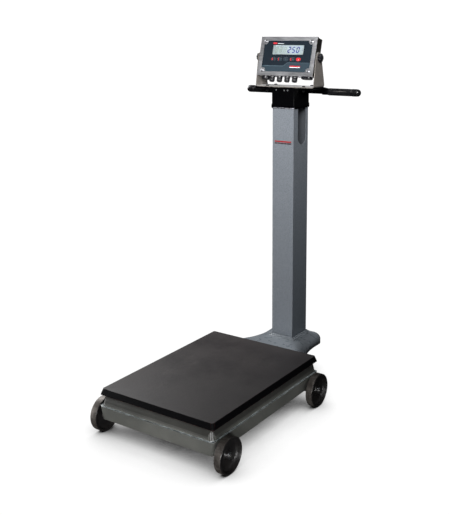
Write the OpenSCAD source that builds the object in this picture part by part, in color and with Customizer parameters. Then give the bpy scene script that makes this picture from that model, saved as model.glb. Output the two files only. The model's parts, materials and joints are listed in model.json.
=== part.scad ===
// Portable platform scale: cast base on four wheels, lever-hung deck, column with a load cell,
// push handle and a tilting weight indicator. Millimetres, +X right, +Y back, +Z up.
// The origin is on the floor, at the middle of the object's bounding box.

/* [Deck] */
// Width of the deck over its skirt
deck_w = 498; // [490:1:500]
// Length of the deck over its skirt, front to back
deck_l = 697; // [696:1:704]
// Height of the deck's top face above the floor
deck_h = 182; // [180:1:186]
// Depth of the deck's skirt
skirt_h = 22; // [20:1:24]
// How far the skirt flares out below the deck's edge
skirt_flare = 7; // [4:1:8]
// Radius of the deck's corners
deck_corner_r = 9; // [6:1:10]

/* [Base frame] */
// Width of the base frame at its ledge
frame_w = 498; // [496:1:502]
// Length of the base frame at its ledge
frame_l = 705; // [702:1:710]
// Height of the frame's lower edge above the floor
frame_low = 67; // [64:1:70]
// Height of the ledge above the floor
ledge_h = 118.4; // [116:0.2:121]
// Wall thickness of the castings
cast_wall = 7; // [6:0.5:8]
// Radius of the frame's corners
frame_corner_r = 14; // [10:1:15]

/* [Wheels] */
// Radius of a wheel
wheel_r = 64; // [63:0.5:65]
// Width of a wheel's rim
wheel_w = 28; // [27:0.5:30]
// Distance from the middle plane to a wheel's inner face
wheel_x = 258; // [257:0.5:259]
// Distance of each axle from the deck's middle
axle_y = 300; // [298:1:302]
// Radius of an axle
axle_r = 8; // [7.5:0.5:8.5]

/* [Levers] */
// Height of the knife edges above the floor
knife_z = 118; // [117:0.5:119]
// Distance of a lever's end blocks from the middle plane
lever_x = 190; // [188:1:192]
// Distance from a lever's fulcrum to its load pivot
load_arm = 60; // [56:1:62]
// Side of a pivot bar's square section
pivot_side = 8; // [7:0.5:8]
// Gap left between a knife edge and its seat
seat_gap = 0.3; // [0.2:0.05:0.4]

/* [Column] */
// Width of the column across the front
col_w = 98; // [96:1:102]
// Depth of the column, front to back
col_d = 115; // [112:1:118]
// Distance from the deck's middle to the column's front face
col_y = 493; // [491:1:495]
// Height of the column's open top above the floor
col_top = 1190; // [1180:1:1191]
// Wall thickness of the column
col_wall = 3; // [2.5:0.5:4]
// Height of the rounded lower end of the side slots
slot_low = 970; // [960:1:980]
// Width of the side slots
slot_w = 65; // [60:1:70]

/* [Handle] */
// Distance from the deck's middle to the handle bar
handle_y = 642; // [640:1:646]
// Height of the handle bar above the floor
handle_z = 1180; // [1178:1:1180]
// Half the length over the two grips
handle_half = 266; // [262:1:270]
// Radius of the handle bar
bar_r = 10; // [9:0.5:11]

/* [Indicator] */
// Width of the indicator enclosure
ind_w = 256; // [254:1:256]
// Height of the enclosure's face
ind_h = 157; // [155:1:158]
// Depth of the enclosure
ind_d = 43; // [42:1:46]
// Lean of the face, back from upright
ind_tilt = 15; // [10:1:20]
// Distance from the deck's middle to the enclosure's lower front edge
ind_y = 498; // [496:1:500]
// Height of the enclosure's lower front edge
ind_z = 1249; // [1247:1:1252]
// Distance between neighbouring keys
key_pitch = 28.5; // [27:0.5:29]

/* [Hidden] */
$fn = 64;

grip_r = 14.8;                                    // widest radius of a grip
mid_y = (handle_y + grip_r - axle_y - wheel_r) / 2;
col_mid = col_y + col_d / 2;                      // middle of the column, and the rod's line
deck_low = deck_h - skirt_h;
frame_top = deck_low - 2;
foot_top = 158;                                   // top face of the column base
cap_low = 1118;
cap_top = 1196;
cap_screw_x = [-31.5, 6.6, 21];
cap_screw_z = 1191;
plate_top = 1203;
plate_front = col_y - 4;
plate_back = 592;
ear_r = 13;                                       // outer radius of an ear, around the bar
ear_x = 98;                                       // inner face of an ear
ear_w = 26;
web_top = 1206;                                   // upper face of the bracket's web
shelf_z = 82;                                     // upper face of the corner shelves
stop_x = 156;
stop_head_z = 166;
deck_t = 8;                                       // thickness of the deck's plate
rib_low = 164;                                    // lower edge of the deck's ribs
rib_h = deck_h - deck_t + 1 - rib_low;            // ribs run 1 into the deck's plate
fork_gap = 22;                                    // between the two cheeks of a fork
short_tip_z = 90;                                 // pivot at the short lever's tip
arm_y = axle_y - load_arm - 26;                   // where a lever's arms leave its end blocks
cheek = 8;                                        // thickness of a fork's cheek
stand_bolt_x = 17;                                // bolts of a stand, from its middle
stand_bolt_y = 14.5;
eye_r = 14;                                       // rod and load cell eyes, to the wire's middle
wire_r = 4.5;
cell_low = 1000;
cell_top = 1076;
eye_z = cell_low - 8 - eye_r - wire_r;            // centre of the load cell's eye
rod_eye_z = eye_z - 2 * eye_r + 2 * wire_r + 2.5; // centre of the rod's eye, 2.5 slack
stud_r = 4;                                       // clamp knob's stud
run_gap = 0.05;                                   // radial clearance of a running fit
pin_turn = 40;                                    // turn of the split pins about their axle
pivot_w = ind_d / 2;                              // indicator pivot, behind its face
pivot_v = ind_h / 2;                              // indicator pivot, above its lower edge
arm_in = 131;                                     // inner face of the bracket's arms
arm_t = 3;
screw_u = 105;                                    // cover screws, from the middle
screw_v = [19.5, 138.5];
lcd_u = 2;
lcd_v = 104;
lcd_w = 142;
lcd_h = 38;
key_v = 66;
key_w = 22;
key_h = 14;
grip_u = [-68, -33, 2, 37];                       // cord grips, along the lower wall
plug_u = [-100, 90];
plug_w = 27;
pivot_y = ind_y + pivot_w * cos(ind_tilt) + pivot_v * sin(ind_tilt);
pivot_z = ind_z - pivot_w * sin(ind_tilt) + pivot_v * cos(ind_tilt);

// Walls of the deck's skirt as [inset, height] points, bottom to top
deck_outside = [[0, deck_low], [0, deck_low + 2], [skirt_flare - 1, deck_h - 1.5],
    [skirt_flare, deck_h - 0.4], [skirt_flare + 1, deck_h]];
deck_inside = [[cast_wall, deck_low - 1], [cast_wall + skirt_flare, deck_h - deck_t]];

// Outer wall of the base frame, drawn the same way
frame_outside = concat(
    [[10, frame_low], [6.4, frame_low + 1.2], [5, frame_low + 4], [0.3, ledge_h - 2.6],
     [0, ledge_h - 1.6], [0, ledge_h - 0.6], [0.8, ledge_h], [5, ledge_h + 0.4]],
    [for (a = [0:10:90]) [6 + 22 * (1 - cos(a)), ledge_h + 1 + (frame_top - ledge_h - 1) * sin(a)]]);
// Inner wall, drawn past both ends
frame_inside = concat(
    [[14, frame_low - 5], [12, frame_low + 4], [8, ledge_h - 6]],
    [for (a = [0:15:90]) [14 + 21 * (1 - cos(a)), ledge_h + 1 + (frame_top - ledge_h - 9) * sin(a)]],
    [[35, frame_top + 5]]);

// Column base sections, front to back: [y, half top, half foot, top z, shoulder z, lower z]
foot_stations = [
    [332, 166, 202, 157.5, 112, 90],
    [352, 150, 190, 158, 112, 92],
    [380, 130, 170, 158, 112, 96],
    [407, 112, 154, 158, 113, 100],
    [438, 93, 138, 158, 116, 104],
    [482, 75, 122, 158, 122, 108],
    [523, 66, 114, 158, 128, 110],
    [560, 68, 112, 158, 131, 112],
    [600, 78, 112, 158, 132, 112],
    [618, 80, 112, 158, 132, 112],
    [630, 76, 108, 154, 131, 112],
    [637, 70, 102, 147, 129, 112],
    [640, 64, 96, 136, 126, 113],
];
// The hollow starts behind the front wall and ends short of the rear one
foot_hollow = concat([[361, 144, 184, 158, 112, 0]], [for (i = [2:9]) foot_stations[i]],
    [[633, 78, 108, 156, 130, 0]]);

// ---------------------------------------------------------------- shared shapes

// Puts what is drawn around the deck's middle into the object's frame
module place() translate([0, -mid_y, 0]) children();

// Puts what is drawn on the indicator's lower front edge where the indicator stands
module on_indicator() place() translate([0, ind_y, ind_z]) rotate([-ind_tilt, 0, 0]) children();

// Both sides of the middle plane
module both_sides() {
    children();
    mirror([1, 0, 0]) children();
}

// The four corners of a rectangle
module four_corners(x, y) for (sx = [-1, 1], sy = [-1, 1]) translate([sx * x, sy * y, 0]) children();

// A cylinder along +X, starting at the origin
module along_x(r, h) rotate([0, 90, 0]) cylinder(r = r, h = h);

// A cylinder along +Y, starting at the origin
module along_y(r, h) rotate([-90, 0, 0]) cylinder(r = r, h = h);

// Half of a wall profile and its mirror image
module side_shape(span, profile) {
    n = len(profile);
    polygon(concat(
        [for (p = profile) [span / 2 - p[0], p[1]]],
        [for (i = [n - 1:-1:0]) [profile[i][0] - span / 2, profile[i][1]]]));
}

// A four-sided solid with sharp corners whose walls follow a profile
module four_sided(w, l, profile) intersection() {
    rotate([90, 0, 0]) linear_extrude(l + 2, center = true) side_shape(w, profile);
    rotate([90, 0, 90]) linear_extrude(w + 2, center = true) side_shape(l, profile);
}

// What a rounded corner takes off a sharp one at the origin, along Z
module corner_cut(r, low, high) difference() {
    translate([-r, -r, low]) cube([r + 12, r + 12, high - low]);
    translate([-r, -r, low - 1]) cylinder(r = r, h = high - low + 2);
}

// The same at each corner of a rectangle, leaning out (or in) by an angle
module corner_cuts(w, l, z, lean, r, low, high) for (s = [0, 1]) mirror([0, s, 0]) both_sides()
    translate([w / 2, l / 2, z]) rotate(a = lean, v = [-1, 1, 0]) corner_cut(r, low, high);

module rounded_rect(x, y, r) {
    square([x - 2 * r, y], center = true);
    square([x, y - 2 * r], center = true);
    for (sx = [-1, 1], sy = [-1, 1]) translate([sx * (x / 2 - r), sy * (y / 2 - r)]) circle(r);
}

module rounded_box(x, y, z, r) linear_extrude(z) rounded_rect(x, y, r);

// A box centred on X and Y, standing on the origin
module block(x, y, z) translate([-x / 2, -y / 2, 0]) cube([x, y, z]);

// A level bar from point a to point b, standing on z = 0
module bar_between(a, b, w, h) {
    d = b - a;
    translate([a[0], a[1], 0]) rotate([0, 0, atan2(d[1], d[0])])
        translate([0, -w / 2, 0]) cube([norm(d), w, h]);
}

// A square bar on its edge, along X and centred there
module edge_bar(side, length) rotate([45, 0, 0]) translate([-length / 2, -side / 2, -side / 2])
    cube([length, side, side]);

// A ring of round wire, its axis along Z
module ring(r, wire) rotate_extrude() translate([r, 0]) circle(wire, $fn = 24);

// A hex bolt head or nut, its axis along Z
module hex(across, h) cylinder(r = across / 2 / cos(30), h = h, $fn = 6);

// A low round screw head with a rounded rim, its axis along Z
module round_head(r, h) rotate_extrude() {
    square([r - h / 2, h]);
    square([r, h / 2]);
    translate([r - h / 2, h / 2]) circle(h / 2, $fn = 24);
}

// ---------------------------------------------------------------- base

module axle_boss() translate([216, axle_y, wheel_r]) along_x(17, 34.5);

module corner_shelf() translate([146, 262, shelf_z - 7]) cube([96, 83, 7]);

module base_frame() color([0.42, 0.43, 0.41]) difference() {
    union() {
        difference() {
            four_sided(frame_w, frame_l, frame_outside);
            four_sided(frame_w, frame_l, frame_inside);
            corner_cuts(frame_w - 10, frame_l - 10, frame_low + 4, 8.4, frame_corner_r, -10, 50);
            corner_cuts(frame_w - 12, frame_l - 12, ledge_h + 1, -14, frame_corner_r, 0, 60);
        }
        for (sy = [0, 1]) mirror([0, sy, 0]) both_sides() {
            axle_boss();
            corner_shelf();
        }
    }
    for (sy = [-1, 1]) translate([-260, sy * axle_y, wheel_r]) along_x(axle_r, 520);
    translate([-27, 320, 94]) cube([54, 60, 46]);
    for (x = [-110, -60, 60, 110]) translate([x, 330, 100]) along_y(6.5, 40);
    four_corners(lever_x, axle_y) four_corners(stand_bolt_x, stand_bolt_y)
        translate([0, 0, shelf_z - 10]) cylinder(r = 3, h = 12);
    four_corners(stop_x, axle_y) translate([0, 0, shelf_z - 10]) cylinder(r = 6, h = 12);
}

// Two cheeks with half of a pivot's seat cut in their ends
module fork(low, high) for (s = [-1, 1])
    translate([s * (fork_gap + cheek) / 2, 0, low]) block(cheek, 24, high - low);

module seat() translate([0, 0, knife_z]) edge_bar(pivot_side + 2 * seat_gap, 60);

module fulcrum_stands() color([0.35, 0.36, 0.36]) four_corners(lever_x, axle_y) difference() {
    union() {
        translate([0, 0, shelf_z]) block(44, 42, 6);
        fork(shelf_z + 6, knife_z);
    }
    seat();
    four_corners(stand_bolt_x, stand_bolt_y) translate([0, 0, shelf_z - 1]) cylinder(r = 3, h = 6);
}

module stand_bolts() color("dimgray") four_corners(lever_x, axle_y)
    four_corners(stand_bolt_x, stand_bolt_y) {
        translate([0, 0, shelf_z - 12]) hex(9, 5);
        translate([0, 0, shelf_z - 7]) cylinder(r = 3, h = 12);
    }

module overload_stops() color("dimgray") four_corners(stop_x, axle_y) {
    translate([0, 0, shelf_z - 9]) cylinder(r = 6, h = stop_head_z - shelf_z + 9);
    translate([0, 0, shelf_z]) hex(18, 8);
    translate([0, 0, stop_head_z]) hex(17, deck_h - deck_t - seat_gap - stop_head_z);
}

module axle() {
    translate([-288, 0, 0]) along_x(axle_r, 576);
    both_sides() translate([288, 0, 0]) along_x(axle_r - 1, 1);
}

module pin_hole() rotate([pin_turn, 0, 0])
    translate([0, 0, -axle_r - 1]) cylinder(r = 2, h = 2 * axle_r + 2);

module front_axle() color("gray") translate([0, -axle_y, wheel_r]) difference() {
    axle();
    both_sides() translate([284, 0, 0]) pin_hole();
}

module rear_axle() color("gray") translate([0, axle_y, wheel_r]) difference() {
    axle();
    both_sides() translate([284, 0, 0]) pin_hole();
}

module washer(r, hole, h) difference() {
    along_x(r, h);
    translate([-1, 0, 0]) along_x(hole, h + 2);
}

module axle_washers() color("silver") for (sy = [-1, 1]) both_sides()
    translate([0, sy * axle_y, wheel_r]) {
        translate([250.6, 0, 0]) washer(13, axle_r, 7);
        translate([wheel_x + 21.4, 0, 0]) washer(12, axle_r, 2);
    }

module split_pin() {
    translate([0, 0, -11]) cylinder(r = 1.9, h = 22, $fn = 24);
    translate([0, 0, 14]) rotate([0, 90, 0]) ring(4, 1.6);
    for (s = [-1, 1]) translate([0, s * 0.9, -10.5]) rotate([s * 35, 0, 0])
        translate([0, 0, -13]) cylinder(r = 1, h = 13, $fn = 16);
}

module split_pins() color("silver") for (sy = [-1, 1]) both_sides()
    translate([284, sy * axle_y, wheel_r]) rotate([pin_turn, 0, 0]) split_pin();

// A wheel from its inner face at x = 0 to its outer face, around the axle at the origin
module wheel() color([0.28, 0.26, 0.24]) rotate([90, 0, 90]) rotate_extrude($fn = 96) polygon([
    [axle_r + run_gap, 1.5], [axle_r + run_gap, 21], [12.5, 21], [14, 19.5], [15.5, 11],
    [18, 9], [50, 8], [55, 10.5], [57, 14], [57.6, wheel_w - 1], [58.6, wheel_w],
    [wheel_r - 1.5, wheel_w], [wheel_r, wheel_w - 1.5], [wheel_r, 1.5], [wheel_r - 1.5, 0],
    [57, 0], [55, 1.5],
]);

module wheel_at(side, end) mirror([side < 0 ? 1 : 0, 0, 0])
    translate([wheel_x, end * axle_y, wheel_r]) wheel();

// ---------------------------------------------------------------- column base

// The column base's section at one station, as points in the plane y = s[0]
function half_section(s, steps) = concat(
    [[s[2], s[5]]],
    [for (i = [0:steps]) let (a = 90 * i / steps)
        [s[1] + (s[2] - s[1]) * cos(a), s[4] + (s[3] - s[4]) * sin(a)]]);

function section(s, steps) = let (h = half_section(s, steps), n = len(h)) concat(
    [for (p = h) [p[0], s[0], p[1]]],
    [for (i = [n - 1:-1:0]) [-h[i][0], s[0], h[i][1]]]);

// Skin over a row of sections
module loft(stations, steps) {
    rows = [for (s = stations) section(s, steps)];
    n = len(rows[0]);
    m = len(rows);
    polyhedron(
        [for (r = rows) each r],
        concat(
            [[for (i = [n - 1:-1:0]) i]],
            [[for (i = [0:n - 1]) (m - 1) * n + i]],
            [for (j = [0:m - 2], i = [0:n - 1]) let (k = (i + 1) % n)
                each [[j * n + i, j * n + k, (j + 1) * n + k],
                    [j * n + i, (j + 1) * n + k, (j + 1) * n + i]]]));
}

// A section moved in by one wall thickness and drawn past the lower edge
function inner_station(s) = [s[0], s[1] - 4, s[2] - cast_wall, s[3] - cast_wall, s[4] - 3, 60];

module column_base() color([0.5, 0.53, 0.54]) difference() {
    union() {
        difference() {
            loft(foot_stations, 6);
            loft([for (s = foot_hollow) inner_station(s)], 5);
        }
        translate([0, col_mid, foot_top - 1]) block(col_w + 24, col_d + 24, 3.5);
        translate([0, col_mid, foot_top - 1]) block(col_w + 12, col_d + 12, 9);
    }
    four_sided(frame_w, frame_l, concat(frame_outside, [[28, frame_top + 10]]));
    translate([0, col_mid, foot_top]) block(col_w, col_d, 20);
    translate([0, col_mid, 140]) cylinder(r = 32, h = 30);
    translate([-27, 340, 88]) cube([54, 30, 50]);
    for (x = [-110, -60, 60, 110]) translate([x, 340, 100]) along_y(6.5, 30);
    translate([0, col_mid, 140]) four_corners(36, 44) cylinder(r = 5, h = 30);
}

module base_bolts() color("dimgray") for (x = [-110, -60, 60, 110]) translate([x, 0, 100]) {
    translate([0, 334, 0]) rotate([-90, 0, 0]) hex(19, 8);
    translate([0, 342, 0]) along_y(6, 27);
    translate([0, 361, 0]) rotate([-90, 0, 0]) hex(19, 9);
}

// ---------------------------------------------------------------- column

module slot() {
    translate([-col_w, 0, slot_low + slot_w / 2]) along_x(slot_w / 2, 2 * col_w);
    translate([0, 0, slot_low + slot_w / 2]) block(2 * col_w, slot_w, 150);
}

module column() color([0.52, 0.53, 0.54]) translate([0, col_mid, 0]) difference() {
    union() {
        difference() {
            translate([0, 0, foot_top]) block(col_w, col_d, col_top - foot_top);
            translate([0, 0, foot_top - 1])
                block(col_w - 2 * col_wall, col_d - 2 * col_wall, col_top - foot_top + 2);
        }
        translate([0, 0, foot_top]) block(col_w - col_wall, col_d - col_wall, 6);
    }
    translate([0, 9, 0]) slot();
    translate([0, 0, foot_top - 1]) cylinder(r = 32, h = 8);
    translate([0, 0, foot_top - 1]) four_corners(36, 44) cylinder(r = 5, h = 8);
}

module column_bolts() color("dimgray") translate([0, col_mid, 0]) four_corners(36, 44) {
    translate([0, 0, foot_top - cast_wall - 6]) hex(16, 6);
    translate([0, 0, foot_top - cast_wall]) cylinder(r = 5, h = 20);
    translate([0, 0, foot_top + 6]) hex(16, 6);
}

module column_label() color("firebrick") translate([0, col_y, 975])
    translate([-38, -0.5, 0]) cube([76, 0.5, 13]);

module column_cap() color([0.06, 0.06, 0.07]) translate([0, col_mid, 0]) difference() {
    union() {
        translate([0, 0, cap_low]) block(col_w + 5, col_d + 5, cap_top - cap_low);
        translate([0, 0, cap_low]) block(col_w + 7, col_d + 7, 18);
        translate([0, 0, cap_low + 3]) block(col_w + 9, col_d + 9, 12);
    }
    translate([0, 0, cap_low - 1]) block(col_w, col_d, col_top - cap_low + 1);
    translate([0, 0, col_top]) cylinder(r = 6, h = 10);
    four_corners(38, 32) translate([0, 0, col_top]) cylinder(r = 3, h = 10);
    for (x = cap_screw_x) translate([x, -col_d / 2 - 3, cap_screw_z]) along_y(1.6, 3.2);
}

module cap_screws() color("silver") for (x = cap_screw_x) translate([x, col_y - 2.5, cap_screw_z]) {
    rotate([90, 0, 0]) round_head(2.8, 1.2);
    along_y(1.6, 2.4);
}

module load_cell() color("silver") translate([0, col_mid, cell_low]) difference() {
    block(19, 51, cell_top - cell_low);
    translate([-10, -26, 18]) cube([20, 38, 5]);
    translate([-10, -12, 53]) cube([20, 38, 5]);
    translate([-10, 0, 38]) along_x(9, 20);
    translate([0, 0, -1]) cylinder(r = 5, h = 13);
    translate([0, 0, 64]) cylinder(r = 6, h = 13);
}

module load_cell_eye() color("gray") translate([0, col_mid, 0]) {
    translate([0, 0, eye_z]) rotate([0, 90, 0]) ring(eye_r, wire_r);
    translate([0, 0, eye_z + eye_r]) cylinder(r = 5, h = cell_low + 10 - eye_z - eye_r);
}

module hanger_bolt() color("gray") translate([0, col_mid, 0]) {
    translate([0, 0, cell_top - 11]) cylinder(r = 6, h = cap_top + 6 - cell_top + 11);
    translate([0, 0, cell_top]) hex(18, 8);
    translate([0, 0, cap_top]) hex(18, 6.5);
}

// ---------------------------------------------------------------- top plate and handle

module mounting_plate() color([0.06, 0.06, 0.07]) difference() {
    translate([-128, plate_front, cap_top]) cube([256, plate_back - plate_front, plate_top - cap_top]);
    translate([0, col_mid, cap_top - 1]) cylinder(r = 14, h = 9);
    translate([0, col_mid, cap_top - 1]) four_corners(38, 32) {
        cylinder(r = 3, h = 9);
        translate([0, 0, 5]) cylinder(r = 5.5, h = 4);
    }
    bolt_places() translate([0, 0, cap_top - 1]) cylinder(r = 4, h = 9);
}

module plate_screws() color("dimgray") translate([0, col_mid, 0]) four_corners(38, 32) {
    translate([0, 0, cap_top - 10]) cylinder(r = 3, h = 14);
    translate([0, 0, cap_top + 4]) cylinder(r = 5.5, h = 3);
}

module bolt_places() for (x = [-84, 84], y = [508, 574]) translate([x, y, 0]) children();

// An ear's side view, drawn with Y to the right
module ear_outline() difference() {
    union() {
        polygon([[plate_back, plate_top], [handle_y, handle_z + ear_r + 1], [handle_y, handle_z],
            [handle_y - ear_r, handle_z], [handle_y - ear_r, 1190], [plate_back, cap_top]]);
        translate([handle_y, handle_z]) circle(ear_r);
    }
    translate([handle_y, handle_z]) circle(bar_r);
}

module handle_ears() color([0.06, 0.06, 0.07]) both_sides()
    translate([ear_x, 0, 0]) rotate([90, 0, 90]) linear_extrude(ear_w) ear_outline();

module handle_bar() color([0.05, 0.05, 0.05]) translate([-250, handle_y, handle_z]) along_x(bar_r, 500);

// A grip from its inner end outwards
module grip() {
    inner_x = ear_x + ear_w + 1;
    ring_x = 226;
    cap_x = 251;
    translate([0, handle_y, handle_z]) rotate([90, 0, 90]) rotate_extrude() polygon(concat(
        [[0, 250], [bar_r, 250], [bar_r, inner_x], [13, inner_x], [14.5, inner_x + 2],
         [14.5, ring_x - 1], [13.6, ring_x], [13.6, ring_x + 3], [grip_r, ring_x + 4], [grip_r, cap_x - 2],
         [13.8, cap_x - 1], [13.8, cap_x + 1]],
        [for (a = [0:15:75]) [14.5 * cos(a), cap_x + 2 + (handle_half - cap_x - 2) * sin(a)]],
        [[0, handle_half]]));
}

module left_grip() color([0.04, 0.04, 0.04]) mirror([1, 0, 0]) grip();
module right_grip() color([0.04, 0.04, 0.04]) grip();

// ---------------------------------------------------------------- indicator bracket

module bracket_outline() {
    polygon([[500, plate_top - 1], [586, plate_top - 1], [586, 1212], [pivot_y + 22, pivot_z],
        [pivot_y - 22, pivot_z], [500, 1212]]);
    translate([pivot_y, pivot_z]) circle(22);
}

// A tall rectangle with rounded lower corners, standing on z
module round_bottom(w, r, z) {
    translate([-w / 2, z + r]) square([w, 180]);
    translate([0, z + 2 * r]) rounded_rect(w, 4 * r, r);
}

module u_section() difference() {
    round_bottom(2 * (arm_in + arm_t), 8, plate_top);
    round_bottom(2 * arm_in, 5, web_top);
}

module indicator_bracket() color([0.6, 0.58, 0.55]) difference() {
    intersection() {
        translate([0, 700, 0]) rotate([90, 0, 0]) linear_extrude(300) u_section();
        rotate([90, 0, 90]) linear_extrude(400, center = true) bracket_outline();
    }
    translate([-arm_in - 10, pivot_y, pivot_z]) along_x(stud_r + run_gap, 2 * arm_in + 20);
    bolt_places() translate([0, 0, plate_top - 2]) cylinder(r = 4, h = 8);
}

module bracket_bolts() color([0.05, 0.05, 0.05]) bolt_places() {
    translate([0, 0, web_top]) round_head(6.5, 4);
    translate([0, 0, cap_top - 10]) cylinder(r = 4, h = web_top - cap_top + 11);
    translate([0, 0, cap_top - 7]) hex(13, 7);
}

// ---------------------------------------------------------------- deck and levers

module deck() color([0.23, 0.22, 0.23]) {
    difference() {
        four_sided(deck_w, deck_l, deck_outside);
        four_sided(deck_w, deck_l, deck_inside);
        corner_cuts(deck_w, deck_l, deck_low + 2, -24.6, deck_corner_r, -10, 40);
    }
    for (x = [-lever_x, lever_x]) translate([x, 0, rib_low]) block(9, deck_l - 30, rib_h);
    for (y = [-240, -120, 120, 240]) translate([0, y, rib_low]) block(deck_w - 30, 9, rib_h);
}

module deck_bearings() color([0.35, 0.36, 0.36]) four_corners(lever_x, axle_y - load_arm) difference() {
    union() {
        translate([0, 0, rib_low - 6]) block(40, 30, 6);
        fork(knife_z, rib_low - 6);
    }
    seat();
}

// The pair of pivots in each end block of a lever
module end_pivots(end, side) for (sx = [-1, 1], y = [axle_y, axle_y - load_arm])
    translate([sx * lever_x, end * y, knife_z]) edge_bar(side, fork_gap + 2 * cheek + 8);

// Upright plates at the corners that hold the pivots, and run on to where the arms start
module end_blocks(end) for (sx = [-1, 1]) translate([sx * lever_x, end * (arm_y + axle_y + 12) / 2, 103])
    block(14, axle_y + 12 - arm_y, 30);

module long_pivots(side) {
    end_pivots(-1, side);
    translate([0, 0, knife_z]) edge_bar(side, 34);
    translate([0, col_mid, knife_z]) edge_bar(side, 34);
}

module long_lever() color([0.33, 0.34, 0.34]) difference() {
    union() {
        end_blocks(-1);
        for (sx = [-1, 1])
            translate([0, 0, 105]) bar_between([sx * lever_x, -arm_y - 10], [sx * 2, -26], 13, 26);
        translate([-8, -36, 104]) cube([16, 392, 28]);
        translate([-8, 355, 107]) cube([16, col_mid - 343, 25]);
    }
    long_pivots(pivot_side);
}

module long_lever_pivots() color("silver") long_pivots(pivot_side);

module short_pivots(side) {
    end_pivots(1, side);
    translate([0, 0, short_tip_z]) edge_bar(side, 56);
}

module short_lever() color([0.33, 0.34, 0.34]) difference() {
    union() {
        end_blocks(1);
        for (sx = [-1, 1])
            translate([0, 0, 97]) bar_between([sx * lever_x, arm_y + 10], [sx * 20, 14], 13, 20);
        both_sides() translate([14, -14, 80]) cube([12, 40, 24]);
        translate([-14, 16, 80]) cube([28, 10, 20]);
    }
    short_pivots(pivot_side);
}

module short_lever_pivots() color("silver") short_pivots(pivot_side);

// A plate with a round eye for each pivot it hangs on
module link_plate(low, high, eyes) difference() {
    translate([9.5, -11, low]) cube([3, 22, high - low]);
    for (z = eyes) translate([9, 0, z]) along_x(pivot_side / sqrt(2) + seat_gap, 4);
}

module centre_link() color("gray") {
    both_sides() link_plate(78, 128, [short_tip_z, knife_z]);
    translate([0, 0, 72]) block(25, 22, 8);
}

module steelyard_rod() color("gray") translate([0, col_mid, 0]) {
    both_sides() link_plate(108, 176, [knife_z]);
    translate([0, 0, 176]) block(25, 22, 12);
    translate([0, 0, 188]) cylinder(r = 5, h = 372);
    translate([0, 0, 640]) cylinder(r = 5, h = rod_eye_z - eye_r - 640);
    translate([0, 0, rod_eye_z]) rotate([90, 0, 0]) ring(eye_r, wire_r);
}

module rod_turnbuckle() color("dimgray") translate([0, col_mid, 0]) difference() {
    union() {
        translate([0, 0, 545]) hex(17, 110);
        translate([0, 0, 538]) hex(15, 7);
        translate([0, 0, 655]) hex(15, 7);
    }
    translate([0, 0, 530]) cylinder(r = 5, h = 30);
    translate([0, 0, 640]) cylinder(r = 5, h = 30);
}

// ---------------------------------------------------------------- indicator
// Drawn with X across the face, Y into the enclosure and Z up the face

module at_screws() for (x = [-screw_u, screw_u], z = screw_v) translate([x, 0, z]) children();

module at_keys() for (i = [-2:2]) translate([i * key_pitch - 2, 0, key_v]) children();

// A rounded rectangle on the face, from depth y0 to y1
module on_face(w, h, r, y0, y1) translate([0, y1, 0]) rotate([90, 0, 0]) rounded_box(w, h, y1 - y0, r);

module indicator_shell() color([0.62, 0.6, 0.57]) on_indicator() difference() {
    union() {
        difference() {
            translate([-ind_w / 2 + 1.7, 4.5, 1.7]) cube([ind_w - 3.4, ind_d - 4.5, ind_h - 3.4]);
            translate([-ind_w / 2 + 3.7, 4, 3.7]) cube([ind_w - 7.4, ind_d - 6, ind_h - 7.4]);
        }
        at_screws() translate([0, 4.5, 0]) along_y(6, ind_d - 5);
    }
    at_screws() translate([0, 4, 0]) along_y(2.2, 14);
    translate([-ind_w / 2, pivot_w, pivot_v]) along_x(stud_r + run_gap, ind_w);
    for (x = grip_u) translate([x, 24, 0]) cylinder(r = 8, h = 5);
    for (x = plug_u) translate([x, plug_w, 0]) cylinder(r = 12, h = 5);
}

module cover_gasket() color([0.1, 0.1, 0.1]) on_indicator() difference() {
    translate([-ind_w / 2 + 2, 2.6, 2]) cube([ind_w - 4, 1.8, ind_h - 4]);
    translate([-ind_w / 2 + 7, 2, 7]) cube([ind_w - 14, 3, ind_h - 14]);
}

module indicator_cover() color([0.7, 0.69, 0.68]) on_indicator() difference() {
    union() {
        difference() {
            translate([-ind_w / 2, 0, 0]) cube([ind_w, 10, ind_h]);
            translate([-ind_w / 2 + 1.5, 2.5, 1.5]) cube([ind_w - 3, 10, ind_h - 3]);
        }
        for (x = [-88, 88], z = [30, 125]) translate([x, 2, z]) along_y(3, 10);
    }
    translate([lcd_u, 0, lcd_v]) on_face(lcd_w, lcd_h, 2, -1, 4);
    at_keys() on_face(key_w + 1, key_h + 1, 5, -1, 4);
    at_screws() translate([0, -1, 0]) along_y(2.2, 5);
}

module cover_screws() color("silver") on_indicator() at_screws() {
    along_y(2.2, 14);
    translate([0, 0, 0]) rotate([90, 0, 0]) cylinder(r = 6.5, h = 0.8);
    translate([0, -0.8, 0]) rotate([90, 0, 0]) round_head(4.6, 2.4);
}

module front_overlay() color([0.15, 0.18, 0.21]) on_indicator() difference() {
    translate([-110.5, -0.8, 16]) cube([221, 0.8, 125]);
    at_screws() translate([0, -2, 0]) along_y(12.5, 4);
    translate([lcd_u, 0, lcd_v]) on_face(lcd_w, lcd_h, 2, -2, 1);
    at_keys() on_face(key_w + 0.6, key_h + 0.6, 4.8, -2, 1);
}

module display_window() color([0.8, 0.85, 0.8, 0.5]) on_indicator()
    translate([lcd_u, 0, lcd_v]) on_face(lcd_w, lcd_h, 2, -0.6, 2.5);

module display_module() color([0.75, 0.8, 0.76]) on_indicator()
    translate([lcd_u, 0, lcd_v]) on_face(lcd_w + 6, lcd_h + 8, 1, 3, 9);

module circuit_board() color("darkgreen") on_indicator() {
    translate([-95, 12, 22]) cube([190, 1.6, 110]);
    at_keys() on_face(7, 7, 1, 6.4, 12);
    translate([lcd_u - 30, 9, lcd_v - 10]) cube([60, 3, 20]);
    translate([40, 13.6, 40]) cube([30, 9, 24]);
}

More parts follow.
